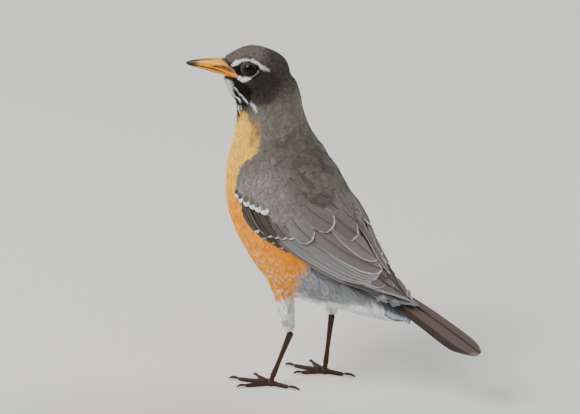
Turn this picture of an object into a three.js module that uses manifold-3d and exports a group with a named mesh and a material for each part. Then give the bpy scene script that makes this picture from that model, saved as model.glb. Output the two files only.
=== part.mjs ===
// A life-size American robin, standing tall and looking left, as a set of closed solids.
//
// Millimetres, +Z up. The bird faces -X, so +X runs towards the tail, -Y is its left side and +Y
// its right side. The shapes are written about a point on the floor between the feet, and the
// whole bird is then moved so that its origin is the middle of its box, on the floor.
import * as THREE from "three";
import { mergeVertices } from "three/addons/utils/BufferGeometryUtils.js";
import Module from "manifold-3d";

const wasm = await Module();
wasm.setup();

// ---------------------------------------------------------------- driving dimensions

const GAP = 0.3; // clearance between neighbouring solids
const CLEAR = 0.5; // how far a slanting cutter stands off, so that GAP is left square to it
const BILL_CLEAR = 0.95; // the same for the bill, whose base slants the most
const TOE_CLEAR = 0.75; // the same for the ends of shanks and claws
const SLIVER = 0.04; // details smaller than this are melted after a cut

// Trunk and neck: each station is a section whose outline passes through a point on the back
// and a point on the underside, both [x, z] in the middle plane, with a half width.
const TRUNK = [
  { back: [-5, 187], front: [-31.5, 178], half: 11.5 },
  { back: [1.3, 174], front: [-33, 160.5], half: 16 },
  { back: [5.5, 160.5], front: [-35.6, 145], half: 19.8 },
  { back: [9.1, 151], front: [-39.6, 128], half: 23.2 },
  { back: [14.8, 141.5], front: [-41.1, 113], half: 25.8 },
  { back: [21.6, 131.5], front: [-39.5, 100.7], half: 27.8 },
  { back: [27.8, 122], front: [-35.7, 90.5], half: 29.2 },
  { back: [34.5, 111], front: [-29.2, 79], half: 29.8 },
  { back: [39.5, 99], front: [-21.6, 68.8], half: 29.5 },
  { back: [44, 87.5], front: [-12.3, 59.6], half: 27.8 },
  { back: [47.5, 78], front: [1, 53], half: 23.8 },
  { back: [53, 70.5], front: [18, 51], half: 18.5 },
  { back: [60, 62], front: [36, 49.3], half: 14 },
  { back: [68, 55], front: [54, 47], half: 9.8 },
  { back: [76, 49], front: [73, 46.5], half: 4.5 },
];

// The closed wings and the back between them make one smooth envelope, given the same way.
const ENVELOPE = [
  { back: [7.2, 160.5], front: [-33.8, 145], half: 20.2 },
  { back: [11.2, 151], front: [-37.8, 128], half: 24.2 },
  { back: [16.8, 142], front: [-39, 113.5], half: 27.7 },
  { back: [24, 132.5], front: [-37.5, 101.5], half: 30.3 },
  { back: [30.4, 123.5], front: [-34, 91.5], half: 32.1 },
  { back: [37, 113], front: [-28, 80], half: 32.8 },
  { back: [42.8, 102.4], front: [-21, 69.5], half: 32.5 },
  { back: [48.9, 91.3], front: [-11, 60], half: 31 },
  { back: [55.3, 81.5], front: [4, 54.5], half: 28.6 },
  { back: [61, 73.8], front: [23, 53], half: 24 },
  { back: [66.8, 66.6], front: [42, 53], half: 18.4 },
  { back: [74, 61.4], front: [59, 53.2], half: 12.6 },
  { back: [81.8, 57.6], front: [76, 54], half: 6.5 },
];

// Folded wing, on the envelope. Edges are [station, turn from the back in degrees].
const WING_LOW_EDGE = [
  [1.75, 108],
  [2.3, 118],
  [3.2, 112],
  [4.6, 101],
  [5.6, 83],
  [7, 68],
  [9, 60],
  [11, 58],
];
const WING_HIGH_EDGE = [
  [1.75, 88],
  [2.3, 60],
  [3.2, 38],
  [4.6, 20],
  [5.6, 10],
  [7, 2],
  [8, -3],
  [11, -3],
];
const SECONDARY_EDGE = [
  [4.2, 88],
  [5.2, 76],
  [6.3, 62],
  [7.6, 50],
  [8.8, 34],
  [9.3, 8],
  [9.5, -16],
];
// Where rows of feathers end, as [turn, station].
const COVERT_TIPS = [
  [2, 7.2],
  [16, 6.7],
  [42, 5.9],
  [60, 5.7],
  [80, 5.2],
  [98, 4.8],
  [112, 4.4],
];
const WING_TIP = [
  [-3, 11.5],
  [20, 11.95],
  [38, 11.8],
  [58, 10.9],
];
const LAST_SECONDARY = 9.4; // station of the longest one's tip
const WING_DEPTH = 6; // how deep the shoulder reaches under the envelope
const TIP_DEPTH = 1.3; // thickness of the last wing feathers
const COVERT_RISE = 0.8; // each layer of feathers lies this much over the next
const SECONDARY_RISE = 0.4;
const FRONT_SINK = 1.5; // the coverts sink into the body by this at the front of the wing
const TOP_SINK = 1.6; // and by this along the back
const ROW_GAP = 0.03; // stations between a row of feathers' end and the joint, on either side
const LAP = 1; // degrees that two layers share before they are parted

// Head, in its own frame: x forward to the bill, y to the left, z up.
const HEAD_CENTRE = [-22.4, -2, 183.7];
const HEAD_YAW = THREE.MathUtils.degToRad(17); // turned to the left
const HEAD = [
  { x: -18.3, up: 1.0, down: 1.0, half: 1.0 },
  { x: -17, up: 5.5, down: 7, half: 7.2 },
  { x: -13.5, up: 9.8, down: 13, half: 11.6 },
  { x: -7.5, up: 13.4, down: 17, half: 14 },
  { x: 0.5, up: 15.6, down: 18.5, half: 14.2 },
  { x: 6.5, up: 15.3, down: 18.5, half: 11.6 },
  { x: 10.5, up: 13.8, down: 17, half: 8.9 },
  { x: 14, up: 12, down: 12.5, half: 6.8 },
  { x: 17.5, up: 9.8, down: 6.5, half: 5.2 },
  { x: 20.8, up: 7.4, down: 1.6, half: 3.4 },
];

// Bill, in the head's frame: z of the ridge and of the lower edge, and the half width.
const BILL = [
  { x: 6, ridge: 1.2, under: -4.4, half: 8.6 },
  { x: 9.5, ridge: 3.2, under: -4.3, half: 9.2 },
  { x: 13, ridge: 5.6, under: -3.8, half: 7.6 },
  { x: 16.5, ridge: 7.1, under: -2.9, half: 6 },
  { x: 20, ridge: 7.7, under: -1.9, half: 4.8 },
  { x: 25, ridge: 7.4, under: -1.0, half: 3.7 },
  { x: 31, ridge: 6.4, under: 0.3, half: 2.7 },
  { x: 37, ridge: 4.8, under: 1.3, half: 1.6 },
  { x: 41.5, ridge: 2.9, under: 2.0, half: 0.5 },
];
const BILL_SHUTS = [
  [4, -4],
  [11.3, -1.7],
  [18, 0.9],
  [24, 2.2],
  [30, 2.6],
  [36, 2.5],
  [46, 2.3],
];

const EYE_RADIUS = 5.2;
const EYE_CENTRE = [2.7, 8.1, 4.2]; // in the head's frame, left eye

// Tail: a closed fan of feathers, given by its root, fall and length.
const TAIL_ROOT = [30, 0, 77.8];
const TAIL_FALL = THREE.MathUtils.degToRad(26.7);
const TAIL_LENGTH = 95.5;
const TAIL_PAIRS = 6;
const TAIL_FEATHER_HALF = 7;
const TAIL_FEATHER_THICK = 0.9;
const TAIL_FAN = 5; // how far out the outermost pair's middle line lies
const TAIL_ARCH = 4; // how far the outermost pair hangs under the middle one
const TAIL_STEP = 5; // how much shorter the outermost pair is
const TAIL_LAP = 0.25; // the right feather of a pair lies this far under the left one
const TAIL_LEAN = 0.12; // slope of the outermost feathers, down at the side
const TAIL_DROOP = 0.6; // sag of the tip

// Legs: the joints of each leg, down to the foot's middle on the floor.
const LEGS = {
  left: { hip: [-4, -13, 70], shin: [1.7, -16.5, 53.3], heel: [4.6, -15.5, 33.6], foot: [-7.9, -15, 2.2] },
  right: { hip: [17, 13, 69], shin: [16.8, 16, 50], heel: [16.4, 15, 35.6], foot: [12.3, 15, 2.2] },
};
const THIGH_RADII = [9, 4.6, 3.8, 2.6];
const SHANK_DEEP = 1.55; // half depth of the bare shank, front to back
const SHANK_WIDE = 0.75; // its half width as a share of that
const TOE_RADIUS = 1.25;
const CLAW_RADIUS = 0.8;
const PAD_RADIUS = 2.6;
// Each toe: its heading in degrees from straight ahead, outwards positive, and its lengths.
const TOES = [
  { name: "middle", heading: 3, length: 20, claw: 6 },
  { name: "inner", heading: -32, length: 13.5, claw: 5 },
  { name: "outer", heading: 38, length: 15, claw: 5 },
  { name: "hind", heading: 177, length: 11.5, claw: 7.5 },
];

// ---------------------------------------------------------------- small tools

const RIGHT = new THREE.Matrix4().makeScale(1, -1, 1); // turns a left piece into a right one
const radians = THREE.MathUtils.degToRad;
const lerp = THREE.MathUtils.lerp;
const vec = (p) => new THREE.Vector3(p[0], p[1], p[2]);
const inPlane = (p) => new THREE.Vector3(p[0], 0, p[1]);
const smoothThrough = (points) => new THREE.CatmullRomCurve3(points, false, "catmullrom", 0.5);

// One number of a row of stations, read smoothly at share t of the way along the row.
function reader(rows, pick) {
  const curve = smoothThrough(rows.map((row) => new THREE.Vector3(pick(row), 0, 0)));
  return (t) => curve.getPoint(t).x;
}

// The second number of a list of pairs, read at a value of the first.
function lookUp(pairs) {
  return (at) => {
    const next = pairs.findIndex(([key]) => key > at);
    if (next === 0) return pairs[0][1];
    if (next < 0) return pairs[pairs.length - 1][1];
    const [a, low] = pairs[next - 1];
    const [b, high] = pairs[next];
    return lerp(low, high, (at - a) / (b - a));
  };
}

// Moves every vertex of a three.js primitive to place(u, v, vertex), from its own uv.
function reshape(geometry, place) {
  const position = geometry.getAttribute("position");
  const uv = geometry.getAttribute("uv");
  const vertex = new THREE.Vector3();
  for (let i = 0; i < position.count; i++) {
    vertex.fromBufferAttribute(position, i);
    const moved = place(uv.getX(i), uv.getY(i), vertex);
    position.setXYZ(i, moved.x, moved.y, moved.z);
  }
  return geometry;
}

// A closed three.js geometry as a manifold solid, its faces turned outwards.
function solid(geometry) {
  const bare = geometry.clone();
  bare.deleteAttribute("normal");
  bare.deleteAttribute("uv");
  const merged = mergeVertices(bare, 1e-4);
  const vertProperties = merged.attributes.position.array;
  const triVerts = new Uint32Array(merged.index.array);
  const made = new wasm.Manifold(new wasm.Mesh({ numProp: 3, vertProperties, triVerts }));
  if (made.volume() > 0) return made;
  for (let i = 0; i < triVerts.length; i += 3) {
    [triVerts[i + 1], triVerts[i + 2]] = [triVerts[i + 2], triVerts[i + 1]];
  }
  return new wasm.Manifold(new wasm.Mesh({ numProp: 3, vertProperties, triVerts }));
}

const unite = (solids) => solids.reduce((a, b) => a.add(b));
const mirrored = (made) => made.transform(RIGHT.elements);

// A closed sweep of sections: section(t, turn, end) gives the point at share t and angle turn,
// and the middle of the section at either end.
function sweep(section, around, along) {
  const ball = new THREE.SphereGeometry(1, around, along);
  return reshape(ball, (u, v) => {
    const t = THREE.MathUtils.clamp(1 - v, 0, 1);
    const end = t < 1e-6 || t > 1 - 1e-6;
    return section(t, end ? 0 : 2 * Math.PI * u, end);
  });
}

// A closed bent sheet from a box: sheet(a, b, side) gives a point at shares a and b of its two
// directions, with side 1 on the outer face and 0 on the inner one.
function bentSheet(sheet, along, across) {
  const box = new THREE.BoxGeometry(1, 1, 1, along, across, 1);
  return reshape(box, (u, v, vertex) => sheet(vertex.x + 0.5, vertex.y + 0.5, vertex.z + 0.5));
}

// The surface through a list of back, front and half-width stations. Turn 0 is the back and a
// quarter turn the left side. grow moves the surface out.
function stationSurface(stations) {
  const back = smoothThrough(stations.map((s) => inPlane(s.back)));
  const front = smoothThrough(stations.map((s) => inPlane(s.front)));
  const half = reader(stations, (s) => s.half);
  return (t, turn, grow = 0) => {
    const low = front.getPoint(t);
    const up = back.getPoint(t).sub(low).multiplyScalar(0.5);
    const middle = low.add(up);
    const reach = up.length() + grow;
    return middle
      .addScaledVector(up.normalize(), reach * Math.cos(turn))
      .add(new THREE.Vector3(0, -(half(t) + grow) * Math.sin(turn), 0));
  };
}

// The point at a share of the way between two, or past them.
const between = (from, to, share) => from.map((value, i) => lerp(value, to[i], share));

// A row of points with both its ends moved out.
function lengthened(points, grow) {
  const last = points.length - 1;
  const out = (end, next) => vec(end).add(vec(end).sub(vec(next)).setLength(grow)).toArray();
  return [out(points[0], points[1]), ...points.slice(1, last), out(points[last], points[last - 1])];
}

// A limb through joints with a radius at each. wide squeezes it sideways.
function limb(joints, radii, { wide = 1, around = 8, along = 8, grow = 0 } = {}) {
  const line = smoothThrough(lengthened(joints, grow).map(vec));
  const radius = reader(radii, (r) => r);
  return sweep(
    (t, turn, end) => {
      const centre = line.getPoint(t);
      if (end) return centre;
      const ahead = line.getTangent(t);
      const front = new THREE.Vector3(0, 1, 0).cross(ahead).normalize();
      const side = ahead.clone().cross(front);
      return centre
        .addScaledVector(front, (radius(t) + grow) * Math.cos(turn))
        .addScaledVector(side, (radius(t) * wide + grow) * Math.sin(turn));
    },
    around,
    along,
  );
}

// ---------------------------------------------------------------- materials

const paint = (color, roughness) => new THREE.MeshStandardMaterial({ color, roughness, metalness: 0 });
const FINISH = {
  back: paint(0x6d675f, 0.9),
  hood: paint(0x37332f, 0.9),
  breast: paint(0xd98a35, 0.9),
  thigh: paint(0xd8d6d4, 0.9),
  covert: paint(0x75706a, 0.85),
  secondary: paint(0x665c56, 0.8),
  primary: paint(0x574c45, 0.8),
  tail: paint(0x625850, 0.8),
  bill: paint(0xe0a024, 0.45),
  eye: paint(0x0b0907, 0.1),
  leg: paint(0x5c3018, 0.6),
  claw: paint(0x2a1a12, 0.4),
};

// ---------------------------------------------------------------- shapes of the body

const headFrame = new THREE.Matrix4()
  .makeTranslation(...HEAD_CENTRE)
  .multiply(new THREE.Matrix4().makeRotationZ(Math.PI + HEAD_YAW));
const inHead = (x, y, z) => new THREE.Vector3(x, y, z).applyMatrix4(headFrame);

// A sweep along the head's x through rows that give x and a half width. top and bottom read the
// heights of a row, and centre its middle.
function headSweep(rows, { top, bottom, centre }, around, along, grow = 0) {
  const x = reader(rows, (row) => row.x);
  const high = reader(rows, top);
  const low = reader(rows, bottom);
  const middle = reader(rows, centre);
  const half = reader(rows, (row) => row.half);
  return sweep(
    (t, turn, end) => {
      const z = middle(t);
      if (end) return inHead(x(t) + (t < 0.5 ? -grow : grow), 0, z);
      const c = Math.cos(turn);
      const reach = (c > 0 ? high(t) - z : z - low(t)) + grow;
      return inHead(x(t), (half(t) + grow) * Math.sin(turn), z + reach * c);
    },
    around,
    along,
  );
}

const HEAD_HEIGHTS = { top: (row) => row.up, bottom: (row) => -row.down, centre: () => 0 };
const BILL_HEIGHTS = {
  top: (row) => row.ridge,
  bottom: (row) => row.under,
  centre: (row) => (row.ridge + row.under) / 2,
};
const makeHead = () => solid(headSweep(HEAD, HEAD_HEIGHTS, 20, 14));
const makeBill = (grow = 0) => solid(headSweep(BILL, BILL_HEIGHTS, 12, 12, grow));

// A thin curved slab along the line where the bill shuts.
function makeBillShut() {
  const line = smoothThrough(BILL_SHUTS.map(inPlane));
  const width = 30;
  return solid(
    bentSheet(
      (a, b, side) => {
        const p = line.getPoint(a);
        return inHead(p.x, (b - 0.5) * width, p.z + (side - 0.5) * GAP);
      },
      14,
      1,
    ),
  );
}

function makeEye(side, grow = 0) {
  const [x, y, z] = EYE_CENTRE;
  const ball = new THREE.SphereGeometry(EYE_RADIUS + grow, 14, 10);
  ball.rotateX(Math.PI / 2);
  const centre = inHead(x, side * y, z);
  return solid(ball.translate(centre.x, centre.y, centre.z));
}

const trunkSurface = stationSurface(TRUNK);
const envelopeSurface = stationSurface(ENVELOPE);

function makeTrunk(grow = 0, around = 24, along = 24) {
  return solid(
    sweep((t, turn, end) => {
      if (!end) return trunkSurface(t, turn, grow);
      return trunkSurface(t, 0).add(trunkSurface(t, Math.PI)).multiplyScalar(0.5);
    }, around, along),
  );
}

// A plane cut through the trunk at a station, as a thin slab.
function makeSectionCut(station) {
  const t = station / (TRUNK.length - 1);
  const back = trunkSurface(t, 0);
  const front = trunkSurface(t, Math.PI);
  const slab = new THREE.BoxGeometry(120, 120, GAP);
  const across = back.clone().sub(front).normalize();
  slab.rotateY(-Math.atan2(across.z, across.x));
  const middle = back.add(front).multiplyScalar(0.5);
  return solid(slab.translate(middle.x, middle.y, middle.z));
}

// ---------------------------------------------------------------- wings

const lowEdge = lookUp(WING_LOW_EDGE);
const highEdge = lookUp(WING_HIGH_EDGE);
const covertTip = lookUp(COVERT_TIPS);
const wingTip = lookUp(WING_TIP);
const secondaryEdge = lookUp(SECONDARY_EDGE);

// A point on the folded left wing, rise above the envelope.
function onWing(station, turn, rise) {
  const t = THREE.MathUtils.clamp(station / (ENVELOPE.length - 1), 0, 1);
  return envelopeSurface(t, radians(turn), rise);
}

const wingDepth = (station) => {
  const share = THREE.MathUtils.smoothstep(station, 5, 10);
  return lerp(WING_DEPTH, TIP_DEPTH, share);
};

// A row of feathers ends at a station that depends on the turn, and its turns lie between edges
// that depend on the station, so the two are settled together in a few passes.
function settle(stationAt, turnAt) {
  let turn = 45;
  let station = 6;
  for (let pass = 0; pass < 8; pass++) {
    station = stationAt(turn);
    turn = turnAt(station);
  }
  return [station, turn];
}

// A layer of the wing: place(a, b) gives its station and turn at shares a and b, and rise(a, b)
// its height over the envelope.
function wingLayer(place, rise, along, across, grow = 0) {
  return solid(
    bentSheet(
      (a, b, side) => {
        const [station, turn] = place(a, b);
        const depth = wingDepth(station) + 2 * grow;
        return onWing(station, turn, rise(a, b) + grow - (side > 0.5 ? 0 : depth));
      },
      along,
      across,
    ),
  );
}

function makeCoverts() {
  const first = WING_LOW_EDGE[0][0];
  const place = (a, b) =>
    settle(
      (turn) => lerp(first, covertTip(turn) - ROW_GAP, a),
      (station) => lerp(highEdge(station), lowEdge(station), b),
    );
  const { smoothstep } = THREE.MathUtils;
  const rise = (a, b) =>
    COVERT_RISE - FRONT_SINK * (1 - smoothstep(a, 0, 0.3)) - TOP_SINK * (1 - smoothstep(b, 0, 0.2));
  return wingLayer(place, rise, 8, 9);
}

// A thin wall through the wing, between the secondaries and the primaries.
function makeWingParting() {
  const line = smoothThrough(SECONDARY_EDGE.map(([station, turn]) => new THREE.Vector3(station, turn, 0)));
  const at = (t, rise) => {
    const p = line.getPoint(t);
    return onWing(p.x, p.y, rise);
  };
  return solid(
    bentSheet(
      (a, b, side) => {
        const ahead = at(Math.min(a + 0.01, 1), 0).sub(at(Math.max(a - 0.01, 0), 0));
        const out = at(a, 1).sub(at(a, 0));
        const across = ahead.cross(out).setLength((side - 0.5) * CLEAR);
        return at(a, lerp(-WING_DEPTH - 1, 2, b)).add(across);
      },
      18,
      2,
    ),
  );
}

const wingParting = makeWingParting();

function makeSecondaries() {
  const place = (a, b) =>
    settle(
      (turn) => lerp(covertTip(turn) + ROW_GAP, LAST_SECONDARY, a),
      (station) => lerp(highEdge(station), secondaryEdge(station) + LAP, b),
    );
  return wingLayer(place, () => SECONDARY_RISE, 6, 6).subtract(wingParting);
}

function makePrimaries() {
  const topEdge = (station) =>
    station < LAST_SECONDARY ? secondaryEdge(station) - LAP : highEdge(station);
  const place = (a, b) =>
    settle(
      (turn) => lerp(covertTip(turn) + ROW_GAP, wingTip(turn), a),
      (station) => lerp(topEdge(station), lowEdge(station), b),
    );
  return wingLayer(place, () => 0, 10, 4).subtract(wingParting);
}

// ---------------------------------------------------------------- tail

// Half width of a flight feather at share s of its length, as a share of its widest.
const featherWidth = lookUp([
  [0, 0.3],
  [0.25, 0.6],
  [0.6, 0.95],
  [0.85, 1],
  [0.94, 0.8],
  [1, 0.3],
]);

// One tail feather. side is 1 on the right, and rank 0 is the middle pair.
function makeTailFeather(side, rank) {
  const out = rank / (TAIL_PAIRS - 1);
  const length = TAIL_LENGTH - TAIL_STEP * out * out;
  const root = vec(TAIL_ROOT);
  const back = new THREE.Vector3(Math.cos(TAIL_FALL), 0, -Math.sin(TAIL_FALL));
  const up = new THREE.Vector3(Math.sin(TAIL_FALL), 0, Math.cos(TAIL_FALL));
  const sink = TAIL_ARCH * out + (side > 0 ? TAIL_LAP : 0);
  return solid(
    bentSheet(
      (s, b, face) => {
        const across = (b - 0.5) * 2 * TAIL_FEATHER_HALF * featherWidth(s);
        const y = side * (TAIL_FAN * out * (0.6 + 0.4 * s)) + across;
        const fall = sink * (0.5 + 0.5 * s) + side * out * TAIL_LEAN * across + TAIL_DROOP * s * s;
        return root
          .clone()
          .addScaledVector(back, length * s)
          .addScaledVector(up, (face - 0.5) * TAIL_FEATHER_THICK - fall)
          .add(new THREE.Vector3(0, y, 0));
      },
      6,
      2,
    ),
  );
}

function makeTail() {
  const feathers = [];
  for (let rank = 0; rank < TAIL_PAIRS; rank++) {
    feathers.push(makeTailFeather(1, rank), makeTailFeather(-1, rank));
  }
  return unite(feathers);
}

// ---------------------------------------------------------------- legs

const floorCut = solid(new THREE.BoxGeometry(400, 400, 40).translate(0, 0, -20));

function makeThigh(leg) {
  const joints = [leg.hip, leg.shin, between(leg.shin, leg.heel, 0.55), leg.heel];
  return solid(limb(joints, THIGH_RADII, { around: 12, along: 10 }));
}

function makeShank(leg, grow = 0) {
  const joints = [-0.06, 0.12, 0.6, 0.98].map((share) => between(leg.heel, leg.foot, share));
  const radii = [1.35, 1.15, 0.85, 1.25].map((share) => share * SHANK_DEEP);
  return solid(limb(joints, radii, { wide: SHANK_WIDE, along: 10, grow }));
}

// The middle lines of a toe and of its claw.
function toeLines(side, foot, toe) {
  const heading = radians(toe.heading);
  const outwards = side === "left" ? -1 : 1;
  const at = (reach, z) => [
    foot[0] - Math.cos(heading) * reach,
    foot[1] + outwards * Math.sin(heading) * reach,
    z,
  ];
  const { length, claw } = toe;
  return {
    flesh: [at(0, 1.9), at(length * 0.35, 1.35), at(length * 0.75, 1.0), at(length, 0.95)],
    claw: [
      at(length - 1, 1.1),
      at(length + claw * 0.4, 1.75),
      at(length + claw * 0.8, 1.2),
      at(length + claw, 0.45),
    ],
  };
}

function makeFoot(side, leg) {
  const radii = [1.35, 1.05, 1, 0.8].map((share) => share * TOE_RADIUS);
  const toes = TOES.map((toe) => {
    const { flesh } = toeLines(side, leg.foot, toe);
    return solid(limb(flesh, radii, { around: 6, along: 6 }));
  });
  const pad = new THREE.SphereGeometry(PAD_RADIUS, 8, 6);
  const [x, y] = leg.foot;
  return unite([...toes, solid(pad.scale(1, 1, 0.75).translate(x, y, 1.5))]).subtract(floorCut);
}

function makeClaw(side, leg, toe, grow = 0) {
  const { claw } = toeLines(side, leg.foot, toe);
  const radii = [1, 0.95, 0.65, 0.35].map((share) => share * CLAW_RADIUS);
  return solid(limb(claw, radii, { around: 6, along: 5, grow })).subtract(floorCut);
}

// ---------------------------------------------------------------- the bird

// The largest body of a solid, tidied, as a named mesh.
function part(name, made, material) {
  const bodies = made.simplify(SLIVER).decompose();
  const whole = bodies.reduce((a, b) => (b.volume() > a.volume() ? b : a));
  const mesh = whole.getMesh();
  const geometry = new THREE.BufferGeometry();
  geometry.setAttribute("position", new THREE.BufferAttribute(new Float32Array(mesh.vertProperties), 3));
  geometry.setIndex(new THREE.BufferAttribute(new Uint32Array(mesh.triVerts), 1));
  geometry.computeVertexNormals();
  const node = new THREE.Mesh(geometry, material);
  node.name = name;
  return node;
}

const robin = new THREE.Group();

// Head, neck and trunk are one form, parted by two thin cuts.
const NECK_CUTS = [1.15, 2.6];
const bill = makeBill();
const eyes = { left: makeEye(1), right: makeEye(-1) };
const form = makeHead()
  .add(makeTrunk())
  .subtract(makeBill(BILL_CLEAR))
  .subtract(makeEye(1, GAP))
  .subtract(makeEye(-1, GAP));
const flesh = NECK_CUTS.reduce((whole, station) => whole.subtract(makeSectionCut(station)), form)
  .decompose()
  .filter((body) => body.volume() > 100)
  .sort((a, b) => b.boundingBox().max[2] - a.boundingBox().max[2]);
robin.add(part("head", flesh[0], FINISH.hood));
robin.add(part("neck", flesh[1], FINISH.back));

const billHalves = bill
  .subtract(makeBillShut())
  .decompose()
  .sort((a, b) => b.boundingBox().max[2] - a.boundingBox().max[2]);
robin.add(part("upper_bill", billHalves[0], FINISH.bill));
robin.add(part("lower_bill", billHalves[1], FINISH.bill));
robin.add(part("left_eye", eyes.left, FINISH.eye));
robin.add(part("right_eye", eyes.right, FINISH.eye));

const trunkCutter = makeTrunk(CLEAR);
const rightHalf = solid(new THREE.BoxGeometry(400, 80, 400).translate(0, 40 - GAP / 2, 100));
const layers = {
  coverts: [makeCoverts(), FINISH.covert],
  secondaries: [makeSecondaries(), FINISH.secondary],
  primaries: [makePrimaries(), FINISH.primary],
};
for (const [name, [made, finish]] of Object.entries(layers)) {
  const layer = made.subtract(trunkCutter).subtract(rightHalf);
  robin.add(part(`left_wing_${name}`, layer, finish));
  robin.add(part(`right_wing_${name}`, mirrored(layer), finish));
}

robin.add(part("tail", makeTail().subtract(trunkCutter), FINISH.tail));

robin.add(part("trunk", flesh[2], FINISH.breast));
for (const [side, leg] of Object.entries(LEGS)) {
  const shankCutter = makeShank(leg, TOE_CLEAR);
  const thigh = makeThigh(leg).subtract(trunkCutter).subtract(shankCutter);
  robin.add(part(`${side}_thigh`, thigh, FINISH.thigh));
  robin.add(part(`${side}_shank`, makeShank(leg), FINISH.leg));
  let foot = makeFoot(side, leg).subtract(shankCutter);
  for (const toe of TOES) {
    foot = foot.subtract(makeClaw(side, leg, toe, TOE_CLEAR));
    robin.add(part(`${side}_${toe.name}_claw`, makeClaw(side, leg, toe), FINISH.claw));
  }
  robin.add(part(`${side}_foot`, foot, FINISH.leg));
}

// The origin is the middle of the bird's box, on the floor.
const box = new THREE.Box3().setFromObject(robin);
const middle = box.getCenter(new THREE.Vector3());
robin.position.set(-middle.x, -middle.y, -box.min.z);

export default robin;
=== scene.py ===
# %% [markdown]
# # An American robin, life size
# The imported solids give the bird's true outline. Here they get their looks: one skin, a coat of
# feathers laid over it, flight feathers made one by one, and a bill, eyes and legs with their own
# finishes. Lengths are in millimetres and are turned to metres when a mesh is made.

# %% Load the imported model
import math

import bmesh
import bpy
import numpy as np
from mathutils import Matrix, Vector, noise
from mathutils.bvhtree import BVHTree
from mathutils.kdtree import KDTree


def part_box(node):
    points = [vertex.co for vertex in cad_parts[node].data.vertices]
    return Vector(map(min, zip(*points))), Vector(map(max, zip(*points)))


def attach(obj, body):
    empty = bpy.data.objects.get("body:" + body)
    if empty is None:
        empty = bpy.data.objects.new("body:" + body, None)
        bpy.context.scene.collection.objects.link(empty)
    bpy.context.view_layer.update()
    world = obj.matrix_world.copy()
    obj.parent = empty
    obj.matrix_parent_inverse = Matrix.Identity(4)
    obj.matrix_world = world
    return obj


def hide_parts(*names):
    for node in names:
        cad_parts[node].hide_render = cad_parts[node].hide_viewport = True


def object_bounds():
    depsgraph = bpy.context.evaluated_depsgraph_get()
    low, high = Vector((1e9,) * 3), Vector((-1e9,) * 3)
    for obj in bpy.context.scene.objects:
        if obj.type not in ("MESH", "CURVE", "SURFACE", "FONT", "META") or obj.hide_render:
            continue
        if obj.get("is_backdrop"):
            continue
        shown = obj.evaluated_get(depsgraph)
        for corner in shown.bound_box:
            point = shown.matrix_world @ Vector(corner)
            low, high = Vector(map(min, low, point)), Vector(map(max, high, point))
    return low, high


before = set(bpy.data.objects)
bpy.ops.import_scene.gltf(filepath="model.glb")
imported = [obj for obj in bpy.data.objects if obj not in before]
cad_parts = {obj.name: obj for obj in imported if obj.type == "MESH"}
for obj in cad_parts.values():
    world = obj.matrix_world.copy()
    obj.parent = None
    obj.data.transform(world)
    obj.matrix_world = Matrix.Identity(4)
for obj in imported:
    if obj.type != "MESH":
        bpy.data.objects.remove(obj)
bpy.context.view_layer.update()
MM = 0.001
BODY = "root"
print("nodes:", len(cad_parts))

# %% [markdown]
# ## Camera
# A long lens far away shows the bird almost without perspective, as a bird watcher's lens does.
# The lens follows from the frame's width, the scale wanted at the bird, and the distance.

# %% Camera
FRAME_WIDTH = 580  # pixels
PIXELS_PER_MM = 1.75
VIEW_TURN = math.radians(25)  # the camera stands this far round from the bird's left side
VIEW_RISE = math.radians(20)
VIEW_DISTANCE = 3500
AIM = Vector((-43.06, 29.3, 92.1))
SENSOR = 36
to_camera = Vector((
    math.sin(VIEW_TURN) * math.cos(VIEW_RISE),
    -math.cos(VIEW_TURN) * math.cos(VIEW_RISE),
    math.sin(VIEW_RISE),
))
bpy.ops.object.camera_add(
    location=(AIM + to_camera * VIEW_DISTANCE) * MM,
    rotation=to_camera.to_track_quat("Z", "Y").to_euler(),
)
camera = bpy.context.object
camera.name = "view"
camera.data.sensor_width = SENSOR
camera.data.lens = SENSOR * VIEW_DISTANCE * PIXELS_PER_MM / FRAME_WIDTH
camera.data.clip_end = 30
bpy.context.scene.camera = camera
print("lens:", round(camera.data.lens, 1), "mm")

# %% [markdown]
# ## Floor and light
# A pale floor wide enough to fill every view, one big soft light high on the bird's left, a
# weaker one from the front to lift the breast, and one behind that draws the back's edge.

# %% Floor and light
def shader_material(name, **sockets):
    """A new material, its node tree and its Principled shader with the given socket values."""
    material = bpy.data.materials.new(name)
    material.use_nodes = True
    shader = material.node_tree.nodes["Principled BSDF"]
    for socket, value in sockets.items():
        shader.inputs[socket.replace("_", " ")].default_value = value
    return material, material.node_tree, shader


def linear(code):
    """A colour written as rrggbb, as three linear numbers."""
    levels = [int(code[i : i + 2], 16) / 255 for i in (0, 2, 4)]
    return np.array([c / 12.92 if c < 0.04045 else ((c + 0.055) / 1.055) ** 2.4 for c in levels])


def make_floor():
    bpy.ops.mesh.primitive_plane_add(size=14)
    floor = bpy.context.object
    floor.name = "floor"
    material, tree, shader = shader_material("pale_floor", Roughness=0.85)
    grain = tree.nodes.new("ShaderNodeTexNoise")
    grain.inputs["Scale"].default_value = 3
    tones = tree.nodes.new("ShaderNodeValToRGB")
    tones.color_ramp.elements[0].color = (*linear("d9d7d2"), 1)
    tones.color_ramp.elements[1].color = (*linear("e3e1dc"), 1)
    tree.links.new(grain.outputs["Fac"], tones.inputs["Fac"])
    tree.links.new(tones.outputs["Color"], shader.inputs["Base Color"])
    floor.data.materials.append(material)
    floor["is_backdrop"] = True


def soft_light(name, place, size, power):
    place = Vector(place)
    turn = (place - Vector((0, 0, 0.1))).to_track_quat("Z", "Y").to_euler()
    bpy.ops.object.light_add(type="AREA", location=place, rotation=turn)
    light = bpy.context.object
    light.name = name
    light.data.size = size
    light.data.energy = power


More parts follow.
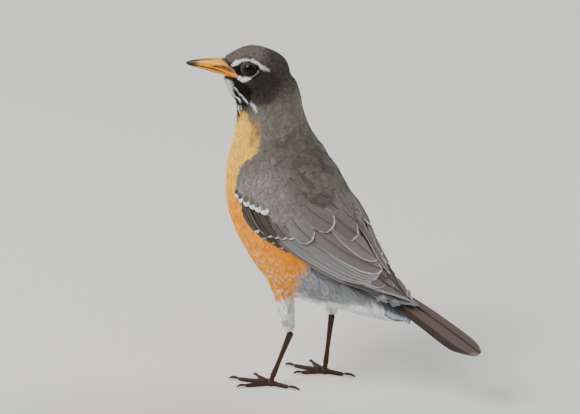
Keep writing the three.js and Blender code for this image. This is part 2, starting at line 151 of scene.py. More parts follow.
make_floor()
soft_light("key_light", (-0.9, -1.5, 2.0), 1.3, 62)
soft_light("front_light", (-2.2, -0.3, 0.9), 1.2, 20)
soft_light("edge_light", (1.2, 1.6, 1.6), 1.0, 26)
world = bpy.data.worlds.new("studio")
world.use_nodes = True
world.node_tree.nodes["Background"].inputs["Color"].default_value = (0.93, 0.95, 1.0, 1)
world.node_tree.nodes["Background"].inputs["Strength"].default_value = 0.55
bpy.context.scene.world = world
print("floor and three lights")

# %% [markdown]
# ## Finding a place on the bird
# Two sets of coordinates say where a point is. The head's own run forward along the bill, to the
# left and up, and come from the two eyes, so they turn with the head.

# %% Coordinates of the head
UP = np.array([0.0, 0.0, 1.0])
EYE_AHEAD, EYE_HIGH = 2.7, 4.2  # the eyes' middle, in front of and above the head's middle


def unit(v):
    return v / np.maximum(np.linalg.norm(v, axis=-1, keepdims=True), 1e-9)


def middle_of(node):
    low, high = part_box(node)
    return np.array((low + high) / 2) / MM


eye_middles = {side: middle_of(f"{side}_eye") for side in ("left", "right")}
HEAD_LEFT = unit(eye_middles["left"] - eye_middles["right"])
HEAD_AHEAD = np.cross(HEAD_LEFT, UP)
HEAD_MIDDLE = (
    (eye_middles["left"] + eye_middles["right"]) / 2 - EYE_AHEAD * HEAD_AHEAD - EYE_HIGH * UP
)
HEAD_YAW = math.degrees(math.atan2(-HEAD_AHEAD[1], -HEAD_AHEAD[0]))


def in_head(points, middle=None):
    """Points as (ahead, left, up) from the head's middle, or from another middle."""
    away = points - (HEAD_MIDDLE if middle is None else middle)
    return np.stack([away @ HEAD_AHEAD, away @ HEAD_LEFT, away @ UP], axis=-1)


def from_head(ahead, left, high):
    return HEAD_MIDDLE + ahead * HEAD_AHEAD + left * HEAD_LEFT + high * UP


print("head yaw:", round(HEAD_YAW, 1), "degrees")

# %% [markdown]
# The body's coordinates are a rib, counted from the bill back to the tail, and a turn round it: 0
# on the back, 90 on the left side, 180 on the belly. The ribs stand along a bent middle line. To
# find a point's rib, the nearest of many marks along that line is taken, and then the place
# between it and its neighbour where the rib's plane meets the point.

# %% Ribs along the body
# Each rib: its middle, how far it leans back from upright, and its yaw, in degrees.
RIBS = np.array([
    [-62.5, -6.1, 184.7, 0, HEAD_YAW],
    [-51.0, -2.6, 184.0, 15, HEAD_YAW],
    [-44.7, -0.8, 179.0, 40, 0.65 * HEAD_YAW],
    [-42.7, 0, 171.0, 62, 0.25 * HEAD_YAW],
    [-41.7, 0, 150.0, 66, 0],
    [-39.7, 0, 127.0, 63, 0],
    [-30.7, 0, 106.0, 63, 0],
    [-17.7, 0, 84.0, 63, 0],
    [-2.7, 0, 66.0, 62, 0],
    [21.3, 0, 55.7, 62, 0],
    [53.3, 0, 46.0, 62, 0],
])
LAST_RIB = len(RIBS) - 1
RIB_STEPS = 16  # marks between two ribs


def smooth_rows(rows, at):
    """Rows of numbers read smoothly at any place between them."""
    last = len(rows) - 1
    padded = np.vstack([2 * rows[0] - rows[1], rows, 2 * rows[-1] - rows[-2]])
    at = np.clip(at, 0, last - 1e-9)
    i = np.floor(at).astype(int)
    f = (at - i)[..., None]
    a, b, c, d = (padded[i + k] for k in range(4))
    square = 2 * a - 5 * b + 4 * c - d
    cube = 3 * b - a - 3 * c + d
    return 0.5 * (2 * b + (c - a) * f + square * f**2 + cube * f**3)


def rib_axes(rib):
    """Middle, up, left and tailward directions of ribs."""
    row = smooth_rows(RIBS, np.asarray(rib, float))
    lean, yaw = np.radians(row[..., 3:4]), np.radians(row[..., 4:5])
    back = np.concatenate([np.cos(yaw), np.sin(yaw), 0 * yaw], axis=-1)
    left = np.concatenate([np.sin(yaw), -np.cos(yaw), 0 * yaw], axis=-1)
    up = np.cos(lean) * UP + np.sin(lean) * back
    tailward = np.cos(lean) * back - np.sin(lean) * UP
    return row[..., :3], up, left, tailward


def on_body(points):
    """The rib and turn (degrees) of points."""
    marks = np.linspace(0, LAST_RIB, LAST_RIB * RIB_STEPS + 1)
    middle, up, left, tailward = rib_axes(marks)
    ribs, turns = [], []
    for some in np.array_split(points, max(1, len(points) // 4000)):
        away = some[:, None] - middle
        past = np.einsum("prk,rk->pr", away, tailward)
        best = np.argmin(np.abs(past) + 0.03 * np.linalg.norm(away, axis=2), axis=1)
        n = np.arange(len(some))
        step = np.where(past[n, best] > 0, 1, -1)
        beside = np.clip(best + step, 0, len(marks) - 1)
        change = past[n, best] - past[n, beside]
        share = np.where(np.abs(change) > 1e-6, past[n, best] / np.where(change == 0, 1, change), 0)
        ribs.append(marks[best] + step * np.clip(share, 0, 1) / RIB_STEPS)
        out = away[n, best]
        turns.append(np.degrees(np.arctan2((out * left[best]).sum(1), (out * up[best]).sum(1))))
    return np.concatenate(ribs), np.concatenate(turns)


print("ribs:", len(RIBS))

# %% [markdown]
# ## Settling the form
# The solids are even and symmetric. A live bird isn't: here the head sinks a little between the
# shoulders, the throat is full, and the wing on the far side lies closer to the back. One smooth
# field of small shifts does this, and every copy of a solid goes through it.

# %% A smooth field of small shifts
def ramp(x, low, high):
    """0 below low, 1 above high and smooth between."""
    t = np.clip((x - low) / (high - low), 0, 1)
    return t * t * (3 - 2 * t)


def band(x, rise, fall):
    """1 between two soft steps, each given as (low, high)."""
    return ramp(x, *rise) * (1 - ramp(x, *fall))


SOLID_HEAD = HEAD_MIDDLE.copy()
HEAD_DROP = [  # ahead of the head's middle, and how far the head sinks there
    (-16, 1.2), (0, 0.8), (5, 0.8), (11, 1.1), (17, 1.7), (26, 1.65), (33, 1.2), (41.5, 0.35),
]
CROWN_DROP = 0.9  # more than that on the crown
THROAT_PLACE, THROAT_REACH = np.array([-57.0, -7.0, 167.5]), 15.0
THROAT_SHIFT = np.array([-2.6, -0.8, 0.2])
NAPE_PRESS = 1.6  # presses move the surface towards the ribs' middles, and fills away from them
NAPE_FILL = 0.9
FAR_WING_PRESS = 3.4
BACK_FILL = 0.8
BELLY_PRESS = 0.9


def settle(points):
    """Moves points by the field. Lengths in millimetres."""
    places = points - SOLID_HEAD
    ahead, high = places @ HEAD_AHEAD, places[:, 2]
    drop = np.interp(ahead, *zip(*HEAD_DROP)) + CROWN_DROP * ramp(high, 6, 14) * (ahead < 20)
    drop = drop * ramp(points[:, 2], 160, 174)
    throat = 1 - ramp(np.linalg.norm(points - THROAT_PLACE, axis=1), 0, THROAT_REACH)
    ribs, turns = on_body(points)
    turn = np.abs(turns)
    nape = band(ribs, (3.2, 3.9), (4.6, 5.3)) * (1 - ramp(turn, 35, 80))
    hollow = band(ribs, (2.4, 2.9), (3.1, 3.6)) * (1 - ramp(turn, 25, 70))
    far_wing = band(-turns, (-12, 6), (80, 130)) * band(ribs, (5.2, 6.3), (9.5, 9.98))
    far_back = band(-turns, (-15, 5), (40, 80)) * band(ribs, (4.4, 5.1), (5.2, 6.1))
    belly = ramp(turn, 95, 130) * band(ribs, (4.4, 5.0), (7.6, 8.4))
    inward = unit(smooth_rows(RIBS, ribs)[:, :3] - points)
    press = NAPE_PRESS * nape + FAR_WING_PRESS * far_wing - BACK_FILL * far_back
    press = press - NAPE_FILL * hollow + BELLY_PRESS * belly
    return points - drop[:, None] * UP + throat[:, None] * THROAT_SHIFT + inward * press[:, None]


eye_middles = {side: settle(middle[None])[0] for side, middle in eye_middles.items()}
HEAD_MIDDLE = HEAD_MIDDLE + (eye_middles["left"] - middle_of("left_eye"))
print("the head sinks by", round(float(SOLID_HEAD[2] - HEAD_MIDDLE[2]), 2), "mm")

# %% [markdown]
# ## Skin
# The flesh comes in several solids, with hair-thin cuts between them. Copies of them, a little
# swollen so that they meet, are joined, melted into one surface by a voxel remesh and smoothed.
# That smooth form is what the feathers' tips reach. The skin itself lies under it by the coat's
# depth, which is small on the face and legs.

# %% Copies of solids, melted together
def pick_only(piece):
    bpy.ops.object.select_all(action="DESELECT")
    piece.select_set(True)
    bpy.context.view_layer.objects.active = piece


def copy_of(name, *nodes, settled=True):
    """Copies of CAD nodes, with their loose triangles merged, joined as one settled object."""
    bpy.ops.object.select_all(action="DESELECT")
    for node in nodes:
        piece = bpy.data.objects.new(name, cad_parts[node].data.copy())
        bpy.context.scene.collection.objects.link(piece)
        piece.data.materials.clear()
        piece.select_set(True)
        bpy.context.view_layer.objects.active = piece
    if len(nodes) > 1:
        bpy.ops.object.join()
    piece = bpy.context.object
    piece.name = name
    bpy.ops.object.mode_set(mode="EDIT")
    bpy.ops.mesh.select_all(action="SELECT")
    bpy.ops.mesh.remove_doubles(threshold=0.00001)
    bpy.ops.object.mode_set(mode="OBJECT")
    if settled:
        move_points(piece, settle(points_of(piece)))
    return piece


def apply_modifier(piece, kind, **settings):
    pick_only(piece)
    modifier = piece.modifiers.new(kind.lower(), kind)
    for key, value in settings.items():
        setattr(modifier, key, value)
    bpy.ops.object.modifier_apply(modifier=modifier.name)


def melt(piece, voxel, rounds, swell=0.2, factor=0.5):
    """Swells a piece, remeshes it as one surface and smooths it. Lengths in millimetres."""
    apply_modifier(piece, "DISPLACE", strength=swell * MM, mid_level=0)
    apply_modifier(piece, "REMESH", mode="VOXEL", voxel_size=voxel * MM, use_smooth_shade=True)
    apply_modifier(piece, "SMOOTH", factor=factor, iterations=rounds)


def points_of(piece):
    flat = np.empty(len(piece.data.vertices) * 3)
    piece.data.vertices.foreach_get("co", flat)
    return flat.reshape(-1, 3) / MM


def normals_of(piece):
    flat = np.empty(len(piece.data.vertices) * 3)
    piece.data.vertices.foreach_get("normal", flat)
    return flat.reshape(-1, 3)


def move_points(piece, points):
    piece.data.vertices.foreach_set("co", (points * MM).ravel())
    piece.data.update()


print("solids can be copied and melted")

# %% [markdown]
# The bill sits in a socket of the head's solid. The skin gets the bill's root as well, cut off
# square, so that it has no hole there. It also takes the wings' solids, because the folded wings
# hide the flanks and their feathers lie on this form.

# %% Melt the flesh into one skin
BILL_STUMP = 13.0  # how far ahead of the head's middle the bill's hidden root is filled in
STUMP_SWELL = 0.35  # which closes the gap round the bill
SKIN_VOXEL = 0.8
SKIN_ROUNDS = 14
FLESH = ["head", "neck", "trunk", "left_thigh", "right_thigh"]
WING_ROWS = ("coverts", "secondaries", "primaries")
WING_LAYERS = [f"{side}_wing_{row}" for side in ("left", "right") for row in WING_ROWS]


def make_bill_stump():
    """The root of the bill, which fills its socket in the skin."""
    stump = copy_of("bill_stump", "upper_bill", "lower_bill")
    bpy.ops.object.mode_set(mode="EDIT")
    bpy.ops.mesh.select_all(action="SELECT")
    bpy.ops.mesh.bisect(
        plane_co=from_head(BILL_STUMP, 0, 0) * MM,
        plane_no=HEAD_AHEAD,
        clear_outer=True,
        use_fill=True,
    )
    bpy.ops.object.mode_set(mode="OBJECT")
    apply_modifier(stump, "DISPLACE", strength=STUMP_SWELL * MM, mid_level=0)
    return stump


stump = make_bill_stump()
skin = copy_of("skin", *FLESH, *WING_LAYERS, "left_eye", "right_eye")
stump.select_set(True)
skin.select_set(True)
bpy.context.view_layer.objects.active = skin
bpy.ops.object.join()
melt(skin, SKIN_VOXEL, SKIN_ROUNDS)
print("melted:", len(skin.data.vertices), "points")

# %% [markdown]
# ## Eye sockets
# The lids draw the skin down to the ball all round the opening, so the eye stands in a shallow
# dish with its dome level with the feathers round it. Points near the eye are moved in: inside
# the opening they go under the ball, and round it they rise from the ball's surface to the face.

# %% Eye sockets
EYE_BALL = 5.2
EYE_OUT = np.linalg.norm(eye_middles["left"] - eye_middles["right"]) / 2
OPENING = np.array([4.35, 3.6])  # half its length and half its height
OPENING_SHIFT = np.array([0.25, 0.3])  # its middle, ahead of and above the ball's middle
SOCKET_REACH = 1.75  # where the dish meets the face, in openings
UNDER_BALL = 1.2  # how far the skin inside the opening lies under the ball's surface


def round_eye(places):
    """Places in the head's frame as (ahead, high) from the opening's middle, in openings."""
    middle = np.array([EYE_AHEAD, EYE_HIGH]) + OPENING_SHIFT
    return (places[..., [0, 2]] - middle) / OPENING


def ball_side(places):
    """How far out the ball's surface lies at places of the head's frame."""
    away = places[..., [0, 2]] - np.array([EYE_AHEAD, EYE_HIGH])
    inside = np.maximum(EYE_BALL**2 - (away**2).sum(-1), 0)
    return EYE_OUT + np.sqrt(inside)


def sink_sockets(points):
    points = points.copy()
    places = in_head(points)
    around = np.linalg.norm(round_eye(places), axis=1)
    for sign in (1, -1):
        near = (places[:, 1] * sign > 6) & (around < SOCKET_REACH)
        some = places[near]
        reach = around[near]
        out = some[:, 1] * sign
        edge = ball_side(some) + 0.1
        share = ramp(reach, 1.0, SOCKET_REACH)
        dish = edge * (1 - share) + out * share
        under = ball_side(some) - UNDER_BALL
        inside = under + (edge - under) * ramp(reach, 0.82, 1.0)
        new = np.where(reach < 1, inside, np.minimum(dish, out))
        points[near] += ((new - out) * sign)[:, None] * HEAD_LEFT
    return points


print("an eye stands", round(float(EYE_OUT), 1), "mm out from the head's middle")

# %% [markdown]
# ## The form that the feathers lie on
# Plumage bridges the hollow of the nape and the groove between back and wing. Smoothing that may
# raise a point and never lower it fills both. The result, with its sockets sunk, is kept as the
# form: a search tree finds the nearest place on it, and its outward direction there.

# %% Fill the hollows and keep the form
FILL_ROUNDS = 160
FILL_STEP = 0.3  # the most that a point rises in one round


def fill_hollows(piece):
    """Raises the nape's hollow and the groove between back and wing, without lowering anything."""
    points, normals = points_of(piece), normals_of(piece)
    ribs, turns = on_body(points)
    turn = np.abs(turns)
    nape = band(ribs, (1.2, 2.0), (3.9, 4.6)) * (1 - ramp(turn, 60, 95))
    groove = band(ribs, (4.3, 4.9), (7.0, 7.6)) * (1 - ramp(turn, 48, 64))
    share = np.maximum(nape, groove)
    pairs = np.array([edge.vertices[:] for edge in piece.data.edges])
    pairs = pairs[(share[pairs] > 0).all(axis=1)]
    count = np.maximum(np.bincount(pairs.ravel(), minlength=len(points)), 1)[:, None]
    for _ in range(FILL_ROUNDS):
        total = np.zeros_like(points)
        np.add.at(total, pairs[:, 0], points[pairs[:, 1]])
        np.add.at(total, pairs[:, 1], points[pairs[:, 0]])
        rise = ((total / count - points) * normals).sum(axis=1)
        points += normals * (0.7 * share * np.clip(rise, 0, FILL_STEP) * (count[:, 0] > 2))[:, None]
    return points


move_points(skin, fill_hollows(skin))
move_points(skin, sink_sockets(points_of(skin)))
form_points, form_normals = points_of(skin), normals_of(skin)
form_faces = [tuple(face.vertices) for face in skin.data.polygons]
form_tree = BVHTree.FromPolygons([tuple(p) for p in form_points], form_faces)
form_face_normals = unit(np.array([form_normals[list(f)].mean(axis=0) for f in form_faces]))
print("smooth form:", len(form_points), "points")


def on_form(points):
    """The nearest points of the smooth form, and its outward directions there."""
    found = [form_tree.find_nearest(p) for p in points.tolist()]
    places = np.array([place for place, normal, face, away in found])
    return places, form_face_normals[[face for place, normal, face, away in found]]


# %% [markdown]
# ## The lie of the feathers
# Feathers point from the bill to the tail. They part in front of each eye, flow round it as water
# flows round a stone and close up behind, and on the thighs they turn down the leg.

# %% The lie of the feathers
LEG_LIE = unit(np.array([0.15, 0, -1.0]))
THIGH_REACH = 11.0  # how far the thigh's own feathers spread, front to back
THIGH_TOP = 57.0
thigh_middles = {side: middle_of(f"{side}_thigh") for side in ("left", "right")}


def thigh_share(points):
    """1 on a thigh, 0 on the trunk and smooth between."""
    share = np.zeros(len(points))
    for side, sign in (("left", -1), ("right", 1)):
        beside = np.abs(points[:, 0] - thigh_middles[side][0]) < THIGH_REACH
        here = ramp(THIGH_TOP - points[:, 2], 0, 7) * beside * (points[:, 1] * sign > 0)
        share = np.maximum(share, here)
    return share


def lie_of(points, normals):
    """The direction that feathers point in, along the surface."""
    ribs, turns = on_body(points)
    tailward = rib_axes(ribs)[3]
    places = in_head(points)
    around = round_eye(places)
    reach = np.maximum(np.linalg.norm(around, axis=1), 1.02)
    near = (reach < 4) & (np.abs(places[:, 1]) > 5)
    flow = np.stack([tailward @ HEAD_AHEAD, tailward @ UP], axis=1)
    outward = around / np.linalg.norm(around, axis=1, keepdims=True)
    across = np.stack([-outward[:, 1], outward[:, 0]], axis=1)
    parted = (
        outward * ((flow * outward).sum(1) * (1 - reach**-2))[:, None]
        + across * ((flow * across).sum(1) * (1 + reach**-2))[:, None]
    )
    change = parted - flow
    bent = tailward + near[:, None] * (change[:, :1] * HEAD_AHEAD + change[:, 1:] * UP)
    share = thigh_share(points)[:, None]
    bent = bent * (1 - share) + LEG_LIE * share
    return unit(bent - normals * (bent * normals).sum(1, keepdims=True))


print("thighs stand at", {side: middle.round(1).tolist() for side, middle in thigh_middles.items()})

# %% [markdown]
# ## Markings
# One function gives the colour of any place on the bird, so that the skin and the coat over it
# wear the same markings. It starts from the grey of the back and lays the other colours over it
# one by one, each with a soft-edged mask: the orange breast, the white belly, the dark hood and,
# on the head, white strokes along lines drawn in the head's own coordinates.

# %% Colours and soft masks
TONES = {}


def add_tones(**codes):
    """Names more colours, given as hex codes."""
    TONES.update({name: linear(code) for name, code in codes.items()})


add_tones(
    back="756e66", mantle_dark="453f36", wing="87817d", wing_tip="5d514b", neck="7d776a",
    neck_brown="a87a45", orange_pale="ffc44c", orange="ff9e00", orange_deep="f48a00",
    cream="ffe9c4", white="fbfaf8", belly="f8fafb", flank_grey="8b9095", undertail="e9f0f6",
    # crown is the paler top of the head: partly its own browner tone, partly painted highlight
    hood="29241d", crown="776b63", ear="35312d", black="0a0908", throat_white="f6f5f2",
    thigh="f6f8f8", thigh_dark="8b9090",
)


def all_of(tone, count):
    """One named colour for each of count places."""
    return np.tile(TONES[tone], (count, 1))


def lay_over(colours, tone, mask):
    """Colours with a tone laid over them where the mask is 1."""
    mask = np.clip(mask, 0, 1)[:, None]
    return colours * (1 - mask) + TONES[tone] * mask


def stroke(places, line, fray, soft=0.5):
    """Mask of a frayed stroke on the side of the head. line holds (ahead, high, half width)."""
    best = np.full(len(places), -9.0)
    flat = places[:, [0, 2]]
    for (a0, h0, w0), (a1, h1, w1) in zip(line, line[1:]):
        start, along = np.array([a0, h0]), np.array([a1 - a0, h1 - h0])
        share = np.clip((flat - start) @ along / (along @ along), 0, 1)
        away = np.linalg.norm(flat - start - share[:, None] * along, axis=1)
        best = np.maximum(best, w0 + (w1 - w0) * share - away)
    return ramp(best + 0.7 * fray, -soft, soft)


def patch(places, ahead, high, long, tall, soft=0.25, fray=0.0):
    """Mask of an oval on the side of the head."""
    reach = np.hypot((places[:, 0] - ahead) / long, (places[:, 2] - high) / tall)
    return 1 - ramp(reach + 0.2 * fray, 1 - soft, 1 + soft)


def grain_at(points, size, seed=0.0):
    """Smooth noise from -1 to 1 with lumps of the given size."""
    shift = Vector((seed, seed, seed))
    return np.array([noise.noise(Vector(p) + shift) for p in (points / size).tolist()])


def interpolated(at, pairs):
    """Values between the given (place, value) pairs."""
    keys, values = zip(*pairs)
    return np.interp(at, keys, values)


print("tones:", len(TONES))

# %% [markdown]
# The head wears a dark hood that is browner on the crown, black in front of the eye and on the
# throat, a white chin and throat with black streaks, and broken white lines: the brow, the lower
# lid, a whisker line and a mark on the side of the neck. The crown's paler tone is partly its own
# browner colour and partly a painted highlight on the top of the head. Each line is a row of
# places with the stroke's half width, and noise frays it as the small feathers do.

# %% Markings of the head
# Each stroke: (ahead, up, half width) of its bends.
BROW = [(13.1, 4.9, 0.6), (10.7, 6.8, 1.05), (7.7, 8.5, 0.8), (4.7, 9.5, 0.6), (1.8, 9.5, 0.65),
        (-1.2, 8.6, 0.9), (-3.6, 7.2, 0.9), (-5.9, 6.0, 0.8), (-8.7, 5.2, 0.45)]
LOWER_LID = [(10.4, -0.4, 0.7), (8.6, -1.3, 1.25), (6.4, -1.6, 1.35), (4.3, -1.0, 1.1), (1.9, 0.3, 0.7),
             (-0.4, 1.7, 0.5), (-2.6, 3.9, 0.35)]
MALAR = [(11.4, -7.8, 0.3), (8.9, -10.8, 0.5), (6.1, -13.3, 0.6), (3.8, -14.9, 0.4)]
NECK_MARK = [(1.6, -14.8, 0.5), (-0.2, -16.2, 1.1), (-2.2, -18.4, 0.8)]
STROKES = ((BROW, 1.0), (LOWER_LID, 1.0), (MALAR, 0.9), (NECK_MARK, 0.5))  # with their strength
THROAT_STREAKS = 19  # how often the throat's streaks repeat round the neck
HOOD_END = 3.8  # the rib where the head's markings end


def head_markings(colours, points, ribs, turns):
    """The given colours with those of the head laid over them."""
    places = in_head(points)
    side = np.abs(places[:, 1])
    turn = np.abs(turns)
    fine = grain_at(points, 1.1)
    fray = grain_at(places * np.array([0.4, 0.5, 1.0]), 0.75, 9.0)
    face = side > 2
    hood = 1 - ramp(ribs, 2.7, 3.7)
    colours = lay_over(colours, "hood", hood * (1 - 0.25 * fine))
    # painted highlight: the upturned top of the head, most at the front, is lightened towards the crown
    # tone, which is also the crown's own browner colour
    light = (1 - ramp(turn, 34, 70)) * (0.25 + 0.75 * ramp(places[:, 0], -10, -1))
    colours = lay_over(colours, "crown", light * hood * (0.85 + 0.5 * fine))
    ear = patch(places, -4.6, -4.8, 9.5, 10, 0.25, fray) * (side > 4)
    colours = lay_over(colours, "ear", ear * 0.9)
    colours = lay_over(colours, "black", patch(places, 11.8, 2.6, 6.2, 3.4) * face)
    colours = lay_over(colours, "black", patch(places, 3.2, 4.4, 7.4, 5.6) * face)
    throat = ramp(turn, 108, 122) * (1 - ramp(ribs + 0.18 * ramp(turn, 150, 175), 2.9, 3.35))
    streaky = ramp(turn + 6 * fray, 148, 160)
    colours = lay_over(colours, "black", throat)
    wave = np.radians(turn) * THROAT_STREAKS + 2.2 * grain_at(points, 4.0, 3.0)
    white = ramp(np.sin(wave) + 0.5 * fine + 1.3 * ramp(turn, 160, 174), 0.35, 0.75)
    colours = lay_over(colours, "throat_white", throat * streaky * white)
    chin = ramp(places[:, 0], 11.0, 14.5) * ramp(-places[:, 2], 2.6, 5.0)
    chin = chin * ramp(turn + 8 * fray, 122, 140)
    colours = lay_over(colours, "throat_white", chin * (0.8 + 0.6 * fine))
    for line, strength in STROKES:
        fading = strength * (1 - (0.55 + 0.6 * fine) * ramp(-places[:, 0], 0.5, 7.5))
        mask = stroke(places, line, fray) * face * fading * (1 - 0.1 * fine)
        colours = lay_over(colours, "white", mask)
    return colours


print("strokes on the head:", len(STROKES))

# %% [markdown]
# On the body, edges between colours are given as a turn for each rib, or as a rib for each turn,
# and the same kind of list says where the wing's own feathers take over from the soft coat.

# %% Edges between colours
# Turn at which the breast's orange starts, by rib, and the rib where it ends, by turn.
ORANGE_EDGE = [(3.0, 150), (3.3, 118), (3.7, 96), (4.1, 79), (4.35, 84), (4.6, 116), (4.9, 124),
               (5.4, 118), (6.3, 96), (6.9, 70), (7.4, 50)]
ORANGE_END = [(40, 7.2), (85, 7.42), (110, 7.75), (135, 8.0), (180, 7.8)]
# Turn at which the belly is white, by rib.
BELLY_WHITE = [(7.4, 128), (8.3, 112), (8.7, 92), (9.1, 74), (9.6, 66)]
# The wing's lower edge as a turn for each rib, and the rib at which the shoulder's soft feathers
# end on the wing, for each turn.
WING_START = 4.6
WING_LOW = [
    (4.6, 128), (5.44, 125), (6.28, 107), (6.88, 82), (7.68, 63), (8.48, 46), (9.16, 26), (9.5, 0),
]
COAT_END = [
    (0, 7.4), (8, 6.9), (15, 6.4), (26, 6.25), (36, 6.1), (46, 5.95), (56, 6.0), (66, 6.1),
    (72, 6.0), (79, 5.72), (84, 5.5), (91, 5.32), (102, 5.15), (115, 4.98), (131, 4.8),
]


def turns_under_wing(ribs, turns):
    """Degrees past the wing's lower edge: negative on the wing."""
    return np.abs(turns) - np.where(ribs > WING_START, interpolated(ribs, WING_LOW), 999)


def under_wing(ribs, turns, margin):
    """1 where the wing's own feathers cover the body, 0 elsewhere."""
    past = ramp(ribs - interpolated(np.abs(turns), COAT_END), margin, margin + 0.25)
    return past * ramp(-turns_under_wing(ribs, turns), -1, 3) * (ribs > WING_START)


print("the coat ends on the wing between ribs", COAT_END[-1][1], "and", COAT_END[0][1])

# %% Markings of the whole bird
def back_and_wings(colours, ribs, turn, lump, blot):
    """The given colours with the back's shades, painted shade in the hollow between back and wing, and
    the wing and the neck laid over them.
    """
    spots = 0.5 * ramp(lump + 0.5 * blot, 0.05, 0.6) * (1 - ramp(turn, 50, 80))
    colours = lay_over(colours, "mantle_dark", spots)
    shade = band(ribs, (3.9, 4.5), (5.3, 6.2)) * (1 - ramp(turn, 40, 75))
    colours = lay_over(colours, "mantle_dark", shade * (0.4 + 0.3 * blot))
    between_wings = ramp(ribs, 6.1, 6.4) * (1 - ramp(turn, 18, 26))
    colours = lay_over(colours, "wing", between_wings * 0.6)
    # painted shade: a darker patch in the hollow between the back and the wing
    hollow = 1 - ramp(np.hypot((ribs - 6.2) / 0.3, (turn - 29) / 13), 0.5, 1.4)
    colours = lay_over(colours, "mantle_dark", 0.5 * hollow)
    colours = lay_over(colours, "wing", ramp(turn, 42, 66) * ramp(ribs, 4.6, 5.2))
    return lay_over(colours, "neck", (1 - ramp(ribs, 3.6, 4.6)) * 0.7)


def breast_orange(ribs, turn, blot, count):
    """The breast's tones, paler by the throat and deeper on the flank."""
    tone = all_of("orange_pale", count)
    tone = lay_over(tone, "orange", ramp(ribs, 4.4, 5.8))
    flank = ramp(ribs, 5.8, 7.2) * (1 - ramp(turn, 130, 175))
    tone = lay_over(tone, "orange_deep", 0.6 * flank)
    return tone * (1 + 0.08 * blot)[:, None]


def markings(points):
    """Colour of places on the bird, and the colour and strength of a feather's edge there."""
    ribs, turns = on_body(points)
    turn = np.abs(turns)
    lump, blot = grain_at(points, 9.0), grain_at(points, 3.5, 7.0)
    colours = all_of("back", len(points))
    colours = back_and_wings(colours, ribs, turn, lump, blot)
    wobble = 5 * blot + 3 * grain_at(points, 1.4, 4.0)
    end = interpolated(turn, ORANGE_END)
    orange = ramp(turn - interpolated(ribs, ORANGE_EDGE) + wobble, -3, 3) * ramp(ribs, 3.0, 3.35)
    orange = orange * (1 - ramp(ribs - end + 0.1 * blot, -0.12, 0.12))
    tone = breast_orange(ribs, turn, blot, len(points))
    rear = ramp(ribs - end, -0.12, 0.12) * ramp(turns_under_wing(ribs, turns), 1, 6)
    colours = lay_over(colours, "flank_grey", rear * (1 - 0.3 * blot))
    pale_from = interpolated(ribs, BELLY_WHITE)
    pale = rear * ramp(turn + 14 * blot, pale_from - 12, pale_from + 12)
    colours = lay_over(colours, "belly", pale)
    undertail = rear * ramp(ribs, 9.0, 9.3) * ramp(turn, 60, 75)
    colours = lay_over(colours, "undertail", undertail * 0.8)
    colours = colours * (1 - orange[:, None]) + tone * orange[:, None]
    smudge = 1 - ramp(np.hypot((ribs - 3.85) / 0.34, (turn - 92) / 12) - 0.3 * blot, 0.45, 1.3)
    colours = lay_over(colours, "neck_brown", 0.75 * smudge)
    thigh = thigh_share(points)
    colours = lay_over(colours, "thigh", thigh)
    colours = lay_over(colours, "thigh_dark", thigh * ramp(blot, -0.1, 0.4) * 0.7)
    under = under_wing(ribs, turns, 0.0)
    colours = lay_over(colours, "wing", under)
    colours = lay_over(colours, "wing_tip", under * ramp(ribs, 7.4, 8.2))
    edges = np.tile(np.append(TONES["cream"], 0.0), (len(points), 1))
    low = 0.05 + 0.6 * ramp(ribs, 5.6, 7.2) * (0.6 + 0.4 * blot)
    middle = 0.35 * ramp(turn, 140, 170) + 0.4 * ramp(turn, 105, 130) * ramp(ribs, 6.0, 7.0)
    edges[:, 3] = np.clip(orange * low + rear * 0.25 + orange * middle, 0, 1)
    head = ribs < HOOD_END
    if head.any():
        colours[head] = head_markings(colours[head], points[head], ribs[head], turns[head])
    return colours, edges


print("markings at the bill's root:", markings(from_head(12, 0, 8)[None])[0].round(2))

# %% [markdown]
# ## The skin's depth and colour
# The skin sinks under the form by the depth of the coat, and never by more than a share of the
# body's thickness there, so that thin wing tips keep a skin too. It dives a little deeper by the
# bill, which stands out of it, and under the wing's feathers. It wears the markings, darkened as
# painted shade, because it only shows in the shaded gaps between feathers.

# %% Sink and colour the skin
def paint_points(piece, name, colours):
    """Writes a colour for each point of a mesh. Colours may have 3 or 4 numbers."""
    values = np.ones((len(colours), 4), np.float32)
    values[:, : colours.shape[1]] = colours
    attribute = piece.data.color_attributes.new(name, "FLOAT_COLOR", "POINT")
    attribute.data.foreach_set("color", values.ravel())


def enter_piece(piece, slot, *nodes):
    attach(piece, BODY)
    if nodes:
        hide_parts(*nodes)


def tree_of(name, *nodes):
    """A search tree of CAD nodes, in millimetres."""
    piece = copy_of(name, *nodes)
    faces = [tuple(face.vertices) for face in piece.data.polygons]
    tree = BVHTree.FromPolygons([tuple(p) for p in points_of(piece)], faces)
    bpy.data.objects.remove(piece)
    return tree


bill_tree = tree_of("bill_form", "upper_bill", "lower_bill")
BILL_FAR = 16.0


def from_bill(points):
    """Distance from the bill, or 99 mm where it is far."""
    found = [bill_tree.find_nearest(p, BILL_FAR) for p in points.tolist()]
    return np.array([99.0 if hit[0] is None else hit[3] for hit in found])


COAT_DEPTH = [(0, 0.35), (1.5, 0.4), (3, 0.55), (4.5, 0.8), (8, 0.9), (10, 0.8)]  # by rib
WING_DEPTH = 1.1  # how much deeper the skin lies under the wing's own feathers
BILL_CLEARANCE = 0.5  # and where it meets the bill
THIN_SHARE = 0.3
# painted shade: the skin's colours are dimmed, since it only shows in the shaded gaps between feathers
SKIN_PAINTED_SHADE = 0.75


